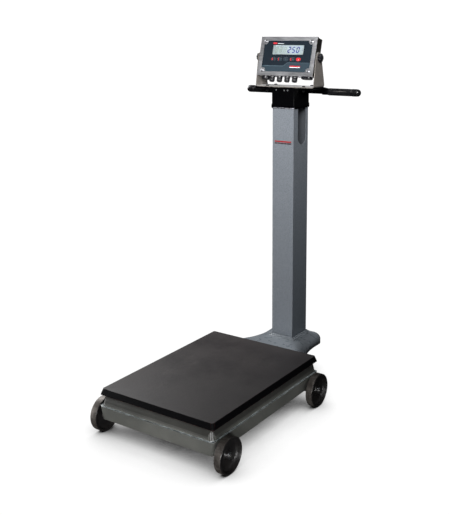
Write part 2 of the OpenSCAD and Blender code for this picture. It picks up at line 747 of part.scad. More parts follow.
// A blanked cord grip below the lower wall, its axis along Z
module cord_grip() difference() {
    union() {
        translate([0, 0, -8]) hex(20, 9.7);
        translate([0, 0, -1]) cylinder(r = 8, h = 10);
        translate([0, 0, 3.7]) hex(20, 4);
        translate([0, 0, -22]) rotate_extrude() polygon([[0, 0], [6, 0], [8.6, 0.8], [10.2, 2.6],
            [11, 5.5], [11.2, 12], [10.4, 14], [0, 14]]);
    }
    translate([0, 0, -23]) cylinder(r = 3.5, h = 5);
}

module cord_grips() color([0.07, 0.07, 0.07]) on_indicator()
    for (x = grip_u) translate([x, 24, 0]) cord_grip();

// Stem and lock nut that hold a plug in the lower wall
module plug_stem() {
    cylinder(r = 12, h = 8);
    translate([0, 0, 3.7]) hex(26, 4);
}

module blanking_plugs() color([0.09, 0.09, 0.1]) on_indicator() {
    translate([plug_u[0], plug_w, 0]) {
        plug_stem();
        translate([0, 0, -13]) rotate_extrude() polygon([[0, 0], [12, 0], [15, 1.5], [16, 4], [16, 14.7],
            [0, 14.7]]);
    }
    translate([plug_u[1], plug_w, 0]) {
        plug_stem();
        translate([0, 0, -6]) rounded_box(48, 31, 7.7, 15);
        translate([0, 0, -8]) rounded_box(42, 25, 2, 12);
    }
}

// Spacer inside each arm, between the arm and the enclosure
module pivot_washers() color("silver") on_indicator() both_sides()
    translate([ind_w / 2 - 1.7, pivot_w, pivot_v]) washer(10, stud_r + run_gap, arm_in - ind_w / 2 + 1.4);

// A lobed clamp knob with its stud, drawn along +X from the enclosure's side wall
module knob() {
    difference() {
        translate([arm_in + arm_t + 1.5, 0, 0]) union() {
            along_x(17, 11);
            along_x(10, 14);
        }
        for (i = [0:7]) rotate([45 * i + 22.5, 0, 0])
            translate([arm_in + arm_t + 1, 0, 19]) along_x(4.5, 12);
    }
    translate([ind_w / 2 - 6, 0, 0]) along_x(stud_r, arm_in + arm_t + 8 - ind_w / 2);
    translate([arm_in + arm_t + 0.3, 0, 0]) along_x(13, 1.5);
}

module knob_at(side) color([0.06, 0.06, 0.06]) on_indicator() mirror([side < 0 ? 1 : 0, 0, 0])
    translate([0, pivot_w, pivot_v]) knob();

// Keys run from left to right, 0 to 4
module key(i, tint) color(tint) on_indicator() translate([(i - 2) * key_pitch - 2, 0, key_v]) {
    on_face(key_w, key_h, 4.5, -1.6, 5);
    on_face(key_w + 4, key_h + 4, 4.5, 3, 4.2);
}

// ---------------------------------------------------------------- what is drawn

place() base_frame();
place() fulcrum_stands();
place() stand_bolts();
place() overload_stops();
place() front_axle();
place() rear_axle();
place() axle_washers();
place() split_pins();
place() wheel_at(-1, -1);  // front_left_wheel
place() wheel_at(1, -1);  // front_right_wheel
place() wheel_at(-1, 1);  // rear_left_wheel
place() wheel_at(1, 1);  // rear_right_wheel
place() column_base();
place() base_bolts();
place() column();
place() column_bolts();
place() column_label();
place() column_cap();
place() cap_screws();
place() load_cell();
place() load_cell_eye();
place() hanger_bolt();
place() mounting_plate();
place() plate_screws();
place() handle_ears();
place() handle_bar();
place() left_grip();
place() right_grip();
place() indicator_bracket();
place() bracket_bolts();
place() deck();
place() deck_bearings();
place() long_lever();
place() long_lever_pivots();
place() short_lever();
place() short_lever_pivots();
place() centre_link();
place() steelyard_rod();
place() rod_turnbuckle();
indicator_shell();
cover_gasket();
indicator_cover();
cover_screws();
front_overlay();
display_window();
display_module();
circuit_board();
cord_grips();
blanking_plugs();
pivot_washers();
knob_at(-1);  // left_knob
knob_at(1);  // right_knob
key(0, [0.5, 0.1, 0.1]);  // zero_key
key(1, [0.5, 0.1, 0.1]);  // tare_key
key(2, [0.2, 0.22, 0.24]);  // units_key
key(3, [0.5, 0.1, 0.1]);  // print_key
key(4, [0.8, 0.1, 0.1]);  // power_key
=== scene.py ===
import json
import math

import bmesh
import bpy
from mathutils import Matrix, Vector


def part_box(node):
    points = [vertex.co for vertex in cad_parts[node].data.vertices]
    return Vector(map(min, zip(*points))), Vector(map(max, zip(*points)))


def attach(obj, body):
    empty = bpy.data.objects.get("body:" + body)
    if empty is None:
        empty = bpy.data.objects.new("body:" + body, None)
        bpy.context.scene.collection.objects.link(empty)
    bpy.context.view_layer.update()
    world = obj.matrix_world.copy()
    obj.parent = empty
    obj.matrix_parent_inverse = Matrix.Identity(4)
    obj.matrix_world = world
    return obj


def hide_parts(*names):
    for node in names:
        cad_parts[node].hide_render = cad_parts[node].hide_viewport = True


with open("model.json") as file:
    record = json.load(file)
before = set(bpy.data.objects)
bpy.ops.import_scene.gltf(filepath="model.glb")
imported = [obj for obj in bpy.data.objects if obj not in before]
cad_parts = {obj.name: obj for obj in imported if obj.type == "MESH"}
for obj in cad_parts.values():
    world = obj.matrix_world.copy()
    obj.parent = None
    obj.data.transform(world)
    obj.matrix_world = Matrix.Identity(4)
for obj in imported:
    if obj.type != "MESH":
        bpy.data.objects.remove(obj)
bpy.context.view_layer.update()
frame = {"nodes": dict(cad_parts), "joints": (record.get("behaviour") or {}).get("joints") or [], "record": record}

# The look of a portable platform scale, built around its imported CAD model.
# The row frame is in metres: +X right, +Y back, +Z up, origin on the floor.

MM = 0.001
deck_low, deck_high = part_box("deck")
DECK_Y = (deck_low.y + deck_high.y) / 2
col_low, col_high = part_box("column")
COL_Y = (col_low.y + col_high.y) / 2
COL_W = col_high.x - col_low.x
COL_D = col_high.y - col_low.y
TILT = math.radians(15)            # lean of the indicator's face
PIVOT_DEPTH = 21.5 * MM            # the indicator's pivot, behind its face
PIVOT_RISE = 78.5 * MM             # and above its lower edge
AXLE_Y, AXLE_Z = 300, 64           # the axles, as at() takes them
HANDLE_Y, HANDLE_Z = 642, 1180     # the handle bar's line, likewise
FRAME_BACK_Y = 353                 # back of the base frame's ledge
joints = {j["name"]: j for j in frame["joints"]}


def at(x, y, z):
    """A point in millimetres: across and back from the middle of the deck, and up from the floor."""
    return Vector((x * MM, DECK_Y + y * MM, z * MM))


# Local axes of the indicator: X across its face, Y into the enclosure, Z up the face
INDICATOR = (
    Matrix.Translation(joints["indicator_tilt"]["pos_m"])
    @ Matrix.Rotation(-TILT, 4, "X")
    @ Matrix.Translation((0, -PIVOT_DEPTH, -PIVOT_RISE))
)
FRONTWARD = Matrix.Rotation(math.pi / 2, 4, "X")    # turns local +Z towards the front


# ------------------------------------------------------------------ materials


MATERIALS = {}     # every Look's material, by the name it was asked for


class Look:
    """A material made of noise patterns in object space, around one Principled shader."""

    def __init__(self, name, **sockets):
        self.material = bpy.data.materials.new(name)
        MATERIALS[name] = self.material
        self.material.use_nodes = True
        self.tree = self.material.node_tree
        self.shader = self.tree.nodes["Principled BSDF"]
        for socket, value in sockets.items():
            self.shader.inputs[socket.replace("_", " ")].default_value = value
        self.space = self.node("ShaderNodeTexCoord").outputs["Object"]

    def node(self, kind, **settings):
        made = self.tree.nodes.new(kind)
        for key, value in settings.items():
            setattr(made, key, value)
        return made

    def feed(self, socket, value):
        """Links an output to a socket, or sets it to a constant."""
        if isinstance(value, bpy.types.NodeSocket):
            self.tree.links.new(value, socket)
        else:
            socket.default_value = value

    def stretched(self, scale):
        mapping = self.node("ShaderNodeMapping")
        self.feed(mapping.inputs["Vector"], self.space)
        mapping.inputs["Scale"].default_value = scale
        return mapping.outputs["Vector"]

    def noise(self, scale, detail=4.0, roughness=0.55, stretch=(1, 1, 1)):
        made = self.node("ShaderNodeTexNoise")
        self.feed(made.inputs["Vector"], self.stretched(stretch))
        made.inputs["Scale"].default_value = scale
        made.inputs["Detail"].default_value = detail
        made.inputs["Roughness"].default_value = roughness
        return made.outputs["Fac"]

    def cells(self, scale):
        made = self.node("ShaderNodeTexVoronoi", feature="SMOOTH_F1")
        self.feed(made.inputs["Vector"], self.space)
        made.inputs["Scale"].default_value = scale
        return made.outputs["Distance"]

    def along(self, axis):
        """The object coordinate along one axis, in metres."""
        split = self.node("ShaderNodeSeparateXYZ")
        self.feed(split.inputs[0], self.space)
        return split.outputs[axis]

    def facing(self, axis):
        """How far the surface faces along one axis, from -1 to 1."""
        normal = self.node("ShaderNodeTexCoord").outputs["Normal"]
        split = self.node("ShaderNodeSeparateXYZ")
        self.feed(split.inputs[0], normal)
        return split.outputs[axis]

    def scale_to(self, value, low, high, out_low, out_high):
        made = self.node("ShaderNodeMapRange", clamp=True)
        self.feed(made.inputs["Value"], value)
        made.inputs["From Min"].default_value = low
        made.inputs["From Max"].default_value = high
        made.inputs["To Min"].default_value = out_low
        made.inputs["To Max"].default_value = out_high
        return made.outputs["Result"]

    def maths(self, operation, a, b):
        made = self.node("ShaderNodeMath", operation=operation)
        self.feed(made.inputs[0], a)
        self.feed(made.inputs[1], b)
        return made.outputs[0]

    def mixed(self, share, a, b):
        """Colour a where share is 0 and b where it is 1."""
        made = self.node("ShaderNodeMix", data_type="RGBA")
        self.feed(made.inputs["Factor"], share)
        self.feed(made.inputs[6], (*a, 1) if isinstance(a, tuple) else a)
        self.feed(made.inputs[7], (*b, 1) if isinstance(b, tuple) else b)
        return made.outputs[2]

    def edges(self, radius):
        """1 at sharp edges and 0 on flats, from the bent normal of a bevel."""
        least, most = 0.02, 0.25
        bevel = self.node("ShaderNodeBevel", samples=6)
        bevel.inputs["Radius"].default_value = radius
        normal = self.node("ShaderNodeNewGeometry").outputs["Normal"]
        dot = self.node("ShaderNodeVectorMath", operation="DOT_PRODUCT")
        self.feed(dot.inputs[0], bevel.outputs["Normal"])
        self.feed(dot.inputs[1], normal)
        return self.scale_to(dot.outputs["Value"], 1 - least, 1 - most, 0, 1)

    def colour(self, value):
        self.feed(self.shader.inputs["Base Color"], (*value, 1) if isinstance(value, tuple) else value)

    def rough(self, value):
        self.feed(self.shader.inputs["Roughness"], value)

    def bump(self, *layers):
        """Each layer is (height, depth in metres)."""
        normal = None
        for height, depth in layers:
            made = self.node("ShaderNodeBump")
            made.inputs["Strength"].default_value = 1.0
            made.inputs["Distance"].default_value = depth
            self.feed(made.inputs["Height"], height)
            if normal is not None:
                self.feed(made.inputs["Normal"], normal)
            normal = made.outputs["Normal"]
        self.feed(self.shader.inputs["Normal"], normal)


def paint(name, colour, light, roughness, grain, depth, coat):
    """Sprayed enamel: faint mottling, a fine orange peel and uneven gloss."""
    look = Look(name, Coat_Weight=coat, Coat_Roughness=0.12)
    cloud = look.noise(9.0, 5.0, 0.6)
    look.colour(look.mixed(look.scale_to(cloud, 0.35, 0.7, 0, 1), colour, light))
    look.rough(look.scale_to(look.noise(40.0), 0.3, 0.7, roughness - 0.07, roughness + 0.09))
    look.bump((look.noise(grain, 2.0), depth))


def cap_paint():
    """The black enamel of the cap, plate and handle, with painted glints of light along the front of the cap's
    lip.
    """
    look = Look("black_paint", Specular_IOR_Level=0.06)
    height = look.along(2)
    lip = look.maths("MULTIPLY", look.scale_to(height, 1.1185, 1.1192, 0, 1),
                     look.scale_to(height, 1.1225, 1.1235, 1, 0))
    front = look.scale_to(look.facing(1), -0.6, -0.3, 1, 0)
    # Painted highlight: near-white glints, broken up by noise, on the faces of the cap's lip that look front.
    painted_glints = look.maths("MULTIPLY", look.scale_to(look.noise(420.0, 3.0), 0.52, 0.56, 0, 1), lip)
    look.colour(look.mixed(look.maths("MULTIPLY", painted_glints, front), (0.0012, 0.0012, 0.0015), (0.5, 0.5, 0.55)))
    look.rough(look.scale_to(look.noise(40.0), 0.3, 0.7, 0.14, 0.24))
    look.bump((look.noise(700.0, 2.0), 0.00005))


def deck_paint():
    """Worn charcoal enamel on a rough casting, rubbed warm and bare along its edges, with painted light on its
    top, near-black painted shade on its sides, and painted shade darkening the top towards the right.
    """
    look = Look("deck_paint")
    up = look.scale_to(look.facing(2), 0.75, 0.97, 0, 1)
    # Painted shade: how far the top is darkened towards the right.
    right = look.scale_to(look.along(0), -0.1, 0.27, 0, 0.5)
    worn = look.noise(3.2, 7.0, 0.68)
    scuffs = look.noise(14.0, 6.0, 0.7, (1, 0.35, 1))
    speckle = look.noise(420.0, 2.0, 0.6)
    cloudy = look.scale_to(worn, 0.34, 0.68, 0, 1)
    dark = look.mixed(cloudy, (0.017, 0.0140, 0.0150), (0.042, 0.036, 0.036))
    marked = look.mixed(look.scale_to(scuffs, 0.58, 0.8, 0, 0.55), dark, (0.075, 0.064, 0.062))
    dusty = look.mixed(look.scale_to(speckle, 0.56, 0.8, 0, 0.5), marked, (0.085, 0.076, 0.074))
    # Painted shade: the top darkens towards the right.
    top = look.mixed(right, dusty, (0.010, 0.009, 0.010))
    # Painted light and shade: faces that look up take the lighter top colour, the sides a near-black copy of the
    # paint.
    painted = look.mixed(up, (0.002, 0.002, 0.0025), top)
    rim = look.maths("MULTIPLY", look.edges(0.0022), look.scale_to(look.noise(60.0), 0.4, 0.62, 0.25, 1))
    look.colour(look.mixed(rim, painted, (0.085, 0.030, 0.026)))
    look.rough(look.scale_to(worn, 0.35, 0.7, 0.46, 0.62))
    look.feed(look.shader.inputs["Specular IOR Level"], look.scale_to(up, 0, 1, 0.05, 0.24))
    look.bump((look.noise(260.0, 4.0, 0.6), 0.0004), (worn, 0.0015))


def frame_paint():
    """Grey-olive enamel over a sand casting, with painted shade on its faces that look up, a painted highlight
    along its ledge, and warm at its lower edge.
    """
    look = Look("frame_paint", Coat_Weight=0.25, Coat_Roughness=0.25)
    cloud = look.noise(7.0, 6.0, 0.62)
    cloudy = look.scale_to(cloud, 0.35, 0.68, 0, 1)
    wall = look.mixed(cloudy, (0.100, 0.102, 0.094), (0.142, 0.144, 0.132))
    # Painted shade: faces that look up, as on the band under the deck, take this darker copy of the wall colour.
    band = look.mixed(cloudy, (0.029, 0.029, 0.026), (0.047, 0.047, 0.042))
    base = look.mixed(look.scale_to(look.facing(2), 0.02, 0.25, 0, 1), wall, band)
    rubbed = look.maths("MULTIPLY", look.edges(0.0016), look.scale_to(look.noise(35.0), 0.35, 0.6, 0.35, 1))
    edged = look.mixed(rubbed, base, (0.36, 0.36, 0.34))
    height = look.along(2)
    # Painted highlight: a pale cyan line along the top of the ledge, broken up by noise.
    ledge = look.maths("MULTIPLY", look.scale_to(height, 0.1178, 0.1184, 0, 1),
                       look.scale_to(height, 0.1196, 0.1200, 1, 0))
    ledge_painted_highlight = look.maths("MULTIPLY", ledge, look.scale_to(look.noise(45.0), 0.36, 0.6, 0.3, 1))
    with_ledge_highlight = look.mixed(ledge_painted_highlight, edged, (0.44, 0.49, 0.50))
    look.colour(look.mixed(look.scale_to(height, 0.0665, 0.0695, 0.6, 0), with_ledge_highlight, (0.12, 0.06, 0.05)))
    look.rough(look.scale_to(cloud, 0.3, 0.7, 0.34, 0.46))
    look.bump((look.noise(330.0, 4.0, 0.6), 0.00035), (cloud, 0.0012))


def hammertone():
    """Silver-grey hammered enamel: small cells with dark rims, with painted shade on its right side, deeper lower
    down, and painted shade inside the column.
    """
    look = Look("column_paint", Metallic=0.25, Coat_Weight=0.35, Coat_Roughness=0.2)
    cell = look.cells(330.0)
    fleck = look.noise(700.0, 2.0, 0.7)
    base = look.mixed(look.scale_to(cell, 0.1, 0.75, 0, 1), (0.245, 0.270, 0.303), (0.150, 0.167, 0.190))
    flecked = look.mixed(look.scale_to(fleck, 0.5, 0.72, 0, 0.8), base, (0.38, 0.40, 0.43))
    # Painted shade: faces that look right darken, more so lower down.
    side = look.maths("MULTIPLY", look.scale_to(look.facing(0), 0.7, 0.95, 0, 1),
                      look.scale_to(look.along(2), 0.2, 1.1, 0.62, 0.12))
    right_side_shaded = look.mixed(side, flecked, (0.055, 0.072, 0.086))
    # Painted shade: inside the column's walls the colour goes nearly black.
    across = look.maths("SUBTRACT", look.maths("ABSOLUTE", look.along(0), 0), COL_W / 2)
    depth = look.maths("ABSOLUTE", look.maths("SUBTRACT", look.along(1), COL_Y), 0)
    outward = look.maths("MAXIMUM", across, look.maths("SUBTRACT", depth, COL_D / 2))
    inside = look.scale_to(outward, -0.0016, -0.0010, 0.8, 0)
    look.colour(look.mixed(inside, right_side_shaded, (0.012, 0.013, 0.016)))
    look.rough(look.scale_to(cell, 0.1, 0.7, 0.34, 0.5))
    look.bump((cell, 0.0005), (fleck, 0.00012))


def brushed(name, dark, light, stretch, roughness, metallic=1.0, axis=0, painted_light_colour=(0.1, 0.085, 0.07)):
    """Sheet steel brushed along one axis of the row frame, with painted light where it faces another: a darker
    colour there is painted shade, a lighter one a painted highlight.
    """
    look = Look(name, Metallic=metallic)
    fine = look.noise(420.0, 3.0, 0.6, stretch)
    broad = look.noise(9.0, 4.0, 0.6)
    grain = look.scale_to(fine, 0.3, 0.7, 0, 1)
    facing = look.scale_to(look.facing(axis), 0.7, 0.95, 0, 0.9)
    # Painted light: faces along the axis take the given colour.
    look.colour(look.mixed(facing, look.mixed(grain, dark, light), painted_light_colour))
    low = look.scale_to(broad, 0.3, 0.7, roughness - 0.05, roughness + 0.07)
    look.rough(look.maths("ADD", low, look.scale_to(fine, 0.3, 0.7, -0.05, 0.06)))
    look.bump((fine, 0.00006))


def plain_metal(name, colour, roughness, grain=500.0, metallic=1.0):
    """Turned, plated or blackened metal with faint streaks."""
    look = Look(name, Metallic=metallic)
    cloud = look.noise(55.0, 4.0)
    darker = tuple(0.7 * c for c in colour)
    look.colour(look.mixed(look.scale_to(cloud, 0.35, 0.65, 0, 1), darker, colour))
    look.rough(look.scale_to(look.noise(120.0), 0.3, 0.7, roughness - 0.06, roughness + 0.1))
    look.bump((look.noise(grain, 3.0), 0.00004))


def cast(name, colour):
    """Bare or primed sand casting."""
    look = Look(name, Metallic=0.4)
    cloud = look.noise(30.0, 5.0, 0.65)
    lighter = tuple(1.8 * c for c in colour)
    look.colour(look.mixed(look.scale_to(cloud, 0.35, 0.7, 0, 1), colour, lighter))
    look.rough(look.scale_to(cloud, 0.3, 0.7, 0.5, 0.68))
    look.bump((look.noise(300.0, 5.0, 0.65), 0.0006))


def tread():
    """The rolling face of a wheel, worn to brown-grey metal."""
    look = Look("wheel_tread", Metallic=0.55)
    cloud = look.noise(26.0, 6.0, 0.7)
    scratch = look.noise(200.0, 4.0, 0.6, (0.25, 1, 1))
    worn = look.mixed(look.scale_to(cloud, 0.36, 0.66, 0, 1), (0.060, 0.052, 0.046), (0.15, 0.135, 0.123))
    look.colour(look.mixed(look.scale_to(scratch, 0.5, 0.8, 0, 0.7), worn, (0.24, 0.225, 0.21)))
    look.rough(look.scale_to(cloud, 0.3, 0.7, 0.42, 0.62))
    look.bump((scratch, 0.0003), (cloud, 0.0006))


def plastic(name, colour, roughness):
    """Moulded plastic or rubber with a fine even texture."""
    look = Look(name)
    lighter = tuple(c * 1.5 + 0.004 for c in colour)
    look.colour(look.mixed(look.scale_to(look.noise(60.0), 0.35, 0.65, 0, 1), colour, lighter))
    look.rough(look.scale_to(look.noise(90.0), 0.3, 0.7, roughness - 0.05, roughness + 0.08))
    look.bump((look.noise(600.0, 3.0), 0.00008))


def film(name, colour, roughness=0.42):
    """Printed polyester film."""
    look = Look(name, Specular_IOR_Level=0.1)
    lighter = tuple(c * 1.12 for c in colour)
    look.colour(look.mixed(look.noise(30.0), colour, lighter))
    look.rough(look.scale_to(look.noise(70.0), 0.3, 0.7, roughness - 0.04, roughness + 0.05))
    look.bump((look.noise(1500.0, 2.0), 0.00002))


def display_panel():
    """Back-lit liquid crystal panel: pale, slightly green, even."""
    look = Look("lcd_panel", Roughness=0.5, Emission_Strength=0.12)
    cloud = look.noise(25.0, 3.0)
    pale = look.mixed(cloud, (0.52, 0.60, 0.63), (0.58, 0.66, 0.69))
    look.colour(pale)
    look.feed(look.shader.inputs["Emission Color"], pale)


def clear_window():
    look = Look("clear_window", Roughness=0.05, IOR=1.2, Transmission_Weight=1.0)
    look.colour(look.mixed(look.noise(20.0), (0.95, 0.98, 0.97), (0.98, 1.0, 0.99)))


def make_materials():
    """Makes every material, under the names that the pieces and the slots use."""
    deck_paint()
    frame_paint()
    paint("foot_paint", (0.165, 0.182, 0.202), (0.205, 0.228, 0.250), 0.3, 500.0, 0.00025, 0.4)
    hammertone()
    cap_paint()
    cast("lever_iron", (0.05, 0.05, 0.05))
    paint("wheel_iron", (0.007, 0.0065, 0.007), (0.016, 0.014, 0.013), 0.4, 260.0, 0.0004, 0.1)
    tread()
    plain_metal("plain_steel", (0.34, 0.33, 0.32), 0.36)
    plain_metal("zinc", (0.42, 0.43, 0.45), 0.33)
    plain_metal("dark_bolts", (0.006, 0.006, 0.007), 0.42, 400.0, 0.4)
    plain_metal("cell_alloy", (0.66, 0.67, 0.69), 0.33)
    film("label_red", (0.27, 0.028, 0.03))
    film("label_dark", (0.05, 0.035, 0.04))
    plastic("black_grip", (0.003, 0.003, 0.0035), 0.2)
    # The bracket goes white where it faces up: a painted highlight on its web.
    brushed("bracket_steel", (0.27, 0.245, 0.225), (0.37, 0.345, 0.32), (1, 0.12, 1), 0.42, 0.6, 2,
            (1.0, 1.0, 1.0))
    # The enclosure goes dark warm brown where it faces right: painted shade on its side.
    brushed("enclosure_steel", (0.80, 0.80, 0.84), (0.98, 0.98, 1.0), (0.06, 1, 1), 0.36)
    plastic("gasket_rubber", (0.01, 0.01, 0.01), 0.7)
    film("overlay_film", (0.009, 0.014, 0.020))
    film("overlay_slate", (0.026, 0.040, 0.052))
    film("overlay_edge", (0.085, 0.125, 0.150))
    film("overlay_white", (0.66, 0.70, 0.72))
    film("overlay_red", (0.50, 0.028, 0.036))
    clear_window()
    display_panel()
    film("lcd_digit", (0.035, 0.040, 0.30), 0.5)
    film("lcd_ghost", (0.52, 0.60, 0.57), 0.5)
    plastic("board_green", (0.01, 0.06, 0.025), 0.5)
    plastic("black_plastic", (0.004, 0.004, 0.006), 0.3)
    film("key_grey", (0.022, 0.033, 0.042))
    film("key_line", (0.062, 0.085, 0.10))
    film("key_red", (0.50, 0.022, 0.026))


# ------------------------------------------------------------------ mesh tools


def skin(rings, closed=True, caps=(True, True)):
    """Vertices and faces over a row of rings that have the same number of points."""
    count = len(rings[0])
    verts = [p for ring in rings for p in ring]
    faces = []
    for j in range(len(rings) - 1):
        for i in range(count if closed else count - 1):
            k = (i + 1) % count
            faces.append((j * count + i, j * count + k, (j + 1) * count + k, (j + 1) * count + i))
    if caps[0]:
        faces.append(tuple(reversed(range(count))))
    if caps[1]:
        start = (len(rings) - 1) * count
        faces.append(tuple(range(start, start + count)))
    return verts, faces


def circle_ring(radius, height, count, lobes=0, depth=0.0, sharp=1.0):
    """A ring round +Z. Lobes cut that many scallops of the given depth into it."""
    points = []
    for i in range(count):
        a = 2 * math.pi * i / count
        cut = depth * (0.5 - 0.5 * math.cos(lobes * a)) ** sharp if lobes else 0.0
        points.append(Vector(((radius - cut) * math.cos(a), (radius - cut) * math.sin(a), height)))
    return points


def rect_ring(half_x, half_y, radius, height, steps=5):
    """A ring round +Z in the form of a rectangle with round corners."""
    points = []
    corners = ((1, 1, 0), (-1, 1, 90), (-1, -1, 180), (1, -1, 270))
    for sx, sy, start in corners:
        for i in range(steps + 1):
            a = math.radians(start + 90 * i / steps)
            x = sx * (half_x - radius) + radius * math.cos(a)
            y = sy * (half_y - radius) + radius * math.sin(a)
            points.append(Vector((x, y, height)))
    return points


def tube_rings(path, radius, count):
    """Rings of a round wire along a path of points."""
    rings = []
    side = Vector((1, 0, 0))
    for i, p in enumerate(path):
        ahead = (path[min(i + 1, len(path) - 1)] - path[max(i - 1, 0)]).normalized()
        side = (side - ahead * side.dot(ahead)).normalized()
        up = ahead.cross(side)
        turns = [2 * math.pi * k / count for k in range(count)]
        rings.append([p + radius * (math.cos(t) * side + math.sin(t) * up) for t in turns])
    return rings


def piece(name, shape, look, body, place=None, replaces=(), smooth=40.0):
    """A mesh object from (vertices, faces), put in place and set on its body."""
    verts, faces = shape
    place = place or Matrix.Identity(4)
    mesh = bpy.data.meshes.new(name)
    mesh.from_pydata([tuple(place @ Vector(v)) for v in verts], [], faces)
    made = bmesh.new()
    made.from_mesh(mesh)
    bmesh.ops.recalc_face_normals(made, faces=made.faces)
    made.to_mesh(mesh)
    made.free()
    mesh.polygons.foreach_set("use_smooth", [True] * len(mesh.polygons))
    mesh.set_sharp_from_angle(angle=math.radians(smooth))
    mesh.materials.append(MATERIALS[look])
    obj = bpy.data.objects.new(name, mesh)
    bpy.context.scene.collection.objects.link(obj)
    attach(obj, body)
    if replaces:
        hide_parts(*replaces)
    return obj


def together(*shapes):
    """Several shapes as one."""
    verts, faces = [], []
    for more_verts, more_faces in shapes:
        start = len(verts)
        verts += [Vector(v) for v in more_verts]
        faces += [tuple(i + start for i in f) for f in more_faces]
    return verts, faces


def moved(shape, place):
    verts, faces = shape
    return [place @ Vector(v) for v in verts], faces


def metres(rows):
    """Rows of numbers in millimetres as rows in metres."""
    return [tuple(value * MM for value in row) for row in rows]


def box_shape(low, high):
    """A plain box between two corners."""
    (x0, y0, z0), (x1, y1, z1) = low, high
    corners = ((x0, y0), (x1, y0), (x1, y1), (x0, y1))
    return skin([[Vector((x, y, z)) for x, y in corners] for z in (z0, z1)])


def turned(levels, count, lobes=0, sharp=1.0):
    """A turned shape round +Z. Each level is (radius, height) or (radius, height, lobe depth)."""
    return skin([circle_ring(l[0], l[1], count, lobes, l[2] if len(l) > 2 else 0.0, sharp) for l in levels])


def stacked(levels, steps):
    """A shape of rounded rectangles. Each level is (half x, half y, corner radius, height)."""
    return skin([rect_ring(*level, steps=steps) for level in levels])


def plate(outline, low, high):
    """A flat plate: outline points (x, z) in the indicator's axes, from depth low to high."""
    rings = [[Vector((x, y, z)) for x, z in outline] for y in (high, low)]
    return skin(rings)


def bevel(obj, width):
    """Breaks an object's sharp edges with a modifier."""
    made = obj.modifiers.new("bevel", "BEVEL")
    made.width = width
    made.segments = 2
    made.limit_method = "ANGLE"
    made.angle_limit = math.radians(35)
    made.harden_normals = True


def along_x(x, y, z, side):
    """Local +Z laid along the row's X, starting at a point as at() takes it."""
    return Matrix.Translation(at(x, y, z)) @ Matrix.Rotation(side * math.pi / 2, 4, "Y")


# ------------------------------------------------------------------ carried-over CAD nodes

BEVELS = {  # how far each node's edges are broken, in metres
    "deck": 0.0012,
    "base_frame": 0.0010,
    "column": 0.0012,
    "mounting_plate": 0.0008,
    "handle_ears": 0.0015,
    "indicator_bracket": 0.0005,
    "indicator_shell": 0.0008,
    "indicator_cover": 0.0009,
    "load_cell": 0.0006,
    "long_lever": 0.0015,
    "short_lever": 0.0015,
    "fulcrum_stands": 0.0010,
    "deck_bearings": 0.0010,
}


def dress_nodes():
    """Gives every CAD node its material and smooth shading, and breaks the edges of the nodes in BEVELS.

    A slot with no look of its own belongs to nodes that are replaced later on.
    """
    slots = {s["node"]: s["material_slot"] for s in frame["record"]["subparts"]}
    for name, obj in frame["nodes"].items():
        look = slots[name]
        obj.data.materials.clear()
        obj.data.materials.append(MATERIALS[look if look in MATERIALS else "key_grey"])
        obj.data.polygons.foreach_set("use_smooth", [True] * len(obj.data.polygons))
        obj.data.set_sharp_from_angle(angle=math.radians(32))
        if name in BEVELS:
            merge = obj.modifiers.new("merge", "DECIMATE")
            merge.decimate_type = "DISSOLVE"
            merge.angle_limit = math.radians(0.5)
            bevel(obj, BEVELS[name])


# ------------------------------------------------------------------ base


def wheels():
    """Cast wheels: worn tread, black faces with a raised rim, a dished web and a hub."""
    outer = [
        (8.05, 21.0), (13.0, 21.0), (14.4, 20.4), (15.2, 19.0), (16.2, 12.6), (18.0, 10.6),
        (21.5, 9.8), (49.5, 8.8), (53.0, 10.4), (55.4, 13.0), (56.8, 17.5), (57.4, 25.5),
        (57.9, 27.2), (59.0, 28.0), (61.6, 28.0), (63.0, 27.5), (63.7, 26.4),
    ]
    rim = [(63.7, 26.4), (64.0, 25.0), (64.0, 14.0), (64.0, 3.0), (63.7, 1.6)]
    inner = [
        (63.7, 1.6), (62.8, 0.5), (61.2, 0.0), (58.6, 0.0), (57.4, 0.6), (56.6, 2.2), (55.8, 5.0),
        (53.0, 6.6), (49.0, 7.2), (21.0, 6.6), (17.5, 5.4), (15.0, 2.6), (13.6, 1.6), (8.05, 1.5),
    ]
    bore = [(8.05, 1.5), (8.05, 11.0), (8.05, 21.0)]
    for side, side_name in ((-1, "left"), (1, "right")):
        for end_name in ("front", "rear"):
            node = f"{end_name}_{side_name}_wheel"
            low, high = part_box(node)
            inner_x = high.x if side < 0 else low.x
            centre = Vector((inner_x, (low.y + high.y) / 2, (low.z + high.z) / 2))
            place = Matrix.Translation(centre) @ Matrix.Rotation(side * math.pi / 2, 4, "Y")
            loops = []
            for part in (outer, rim, inner, bore):
                rings = [circle_ring(*level, 96) for level in metres(part)]
                loops.append(skin(rings, caps=(False, False)))
            black = together(loops[0], loops[2], loops[3])
            body = piece(node + "_casting", black, "wheel_iron", node, place, (node,))
            worn = piece(node + "_tread", loops[1], "wheel_tread", node, place)
            join_shells(body, worn)


def join_shells(keep, other):
    """Welds two open shells into one closed piece with both their materials."""
    bpy.ops.object.select_all(action="DESELECT")
    keep.select_set(True)
    other.select_set(True)
    bpy.context.view_layer.objects.active = keep
    bpy.ops.object.join()
    made = bmesh.new()
    made.from_mesh(keep.data)
    bmesh.ops.remove_doubles(made, verts=made.verts, dist=0.00001)
    bmesh.ops.recalc_face_normals(made, faces=made.faces)
    made.to_mesh(keep.data)
    made.free()


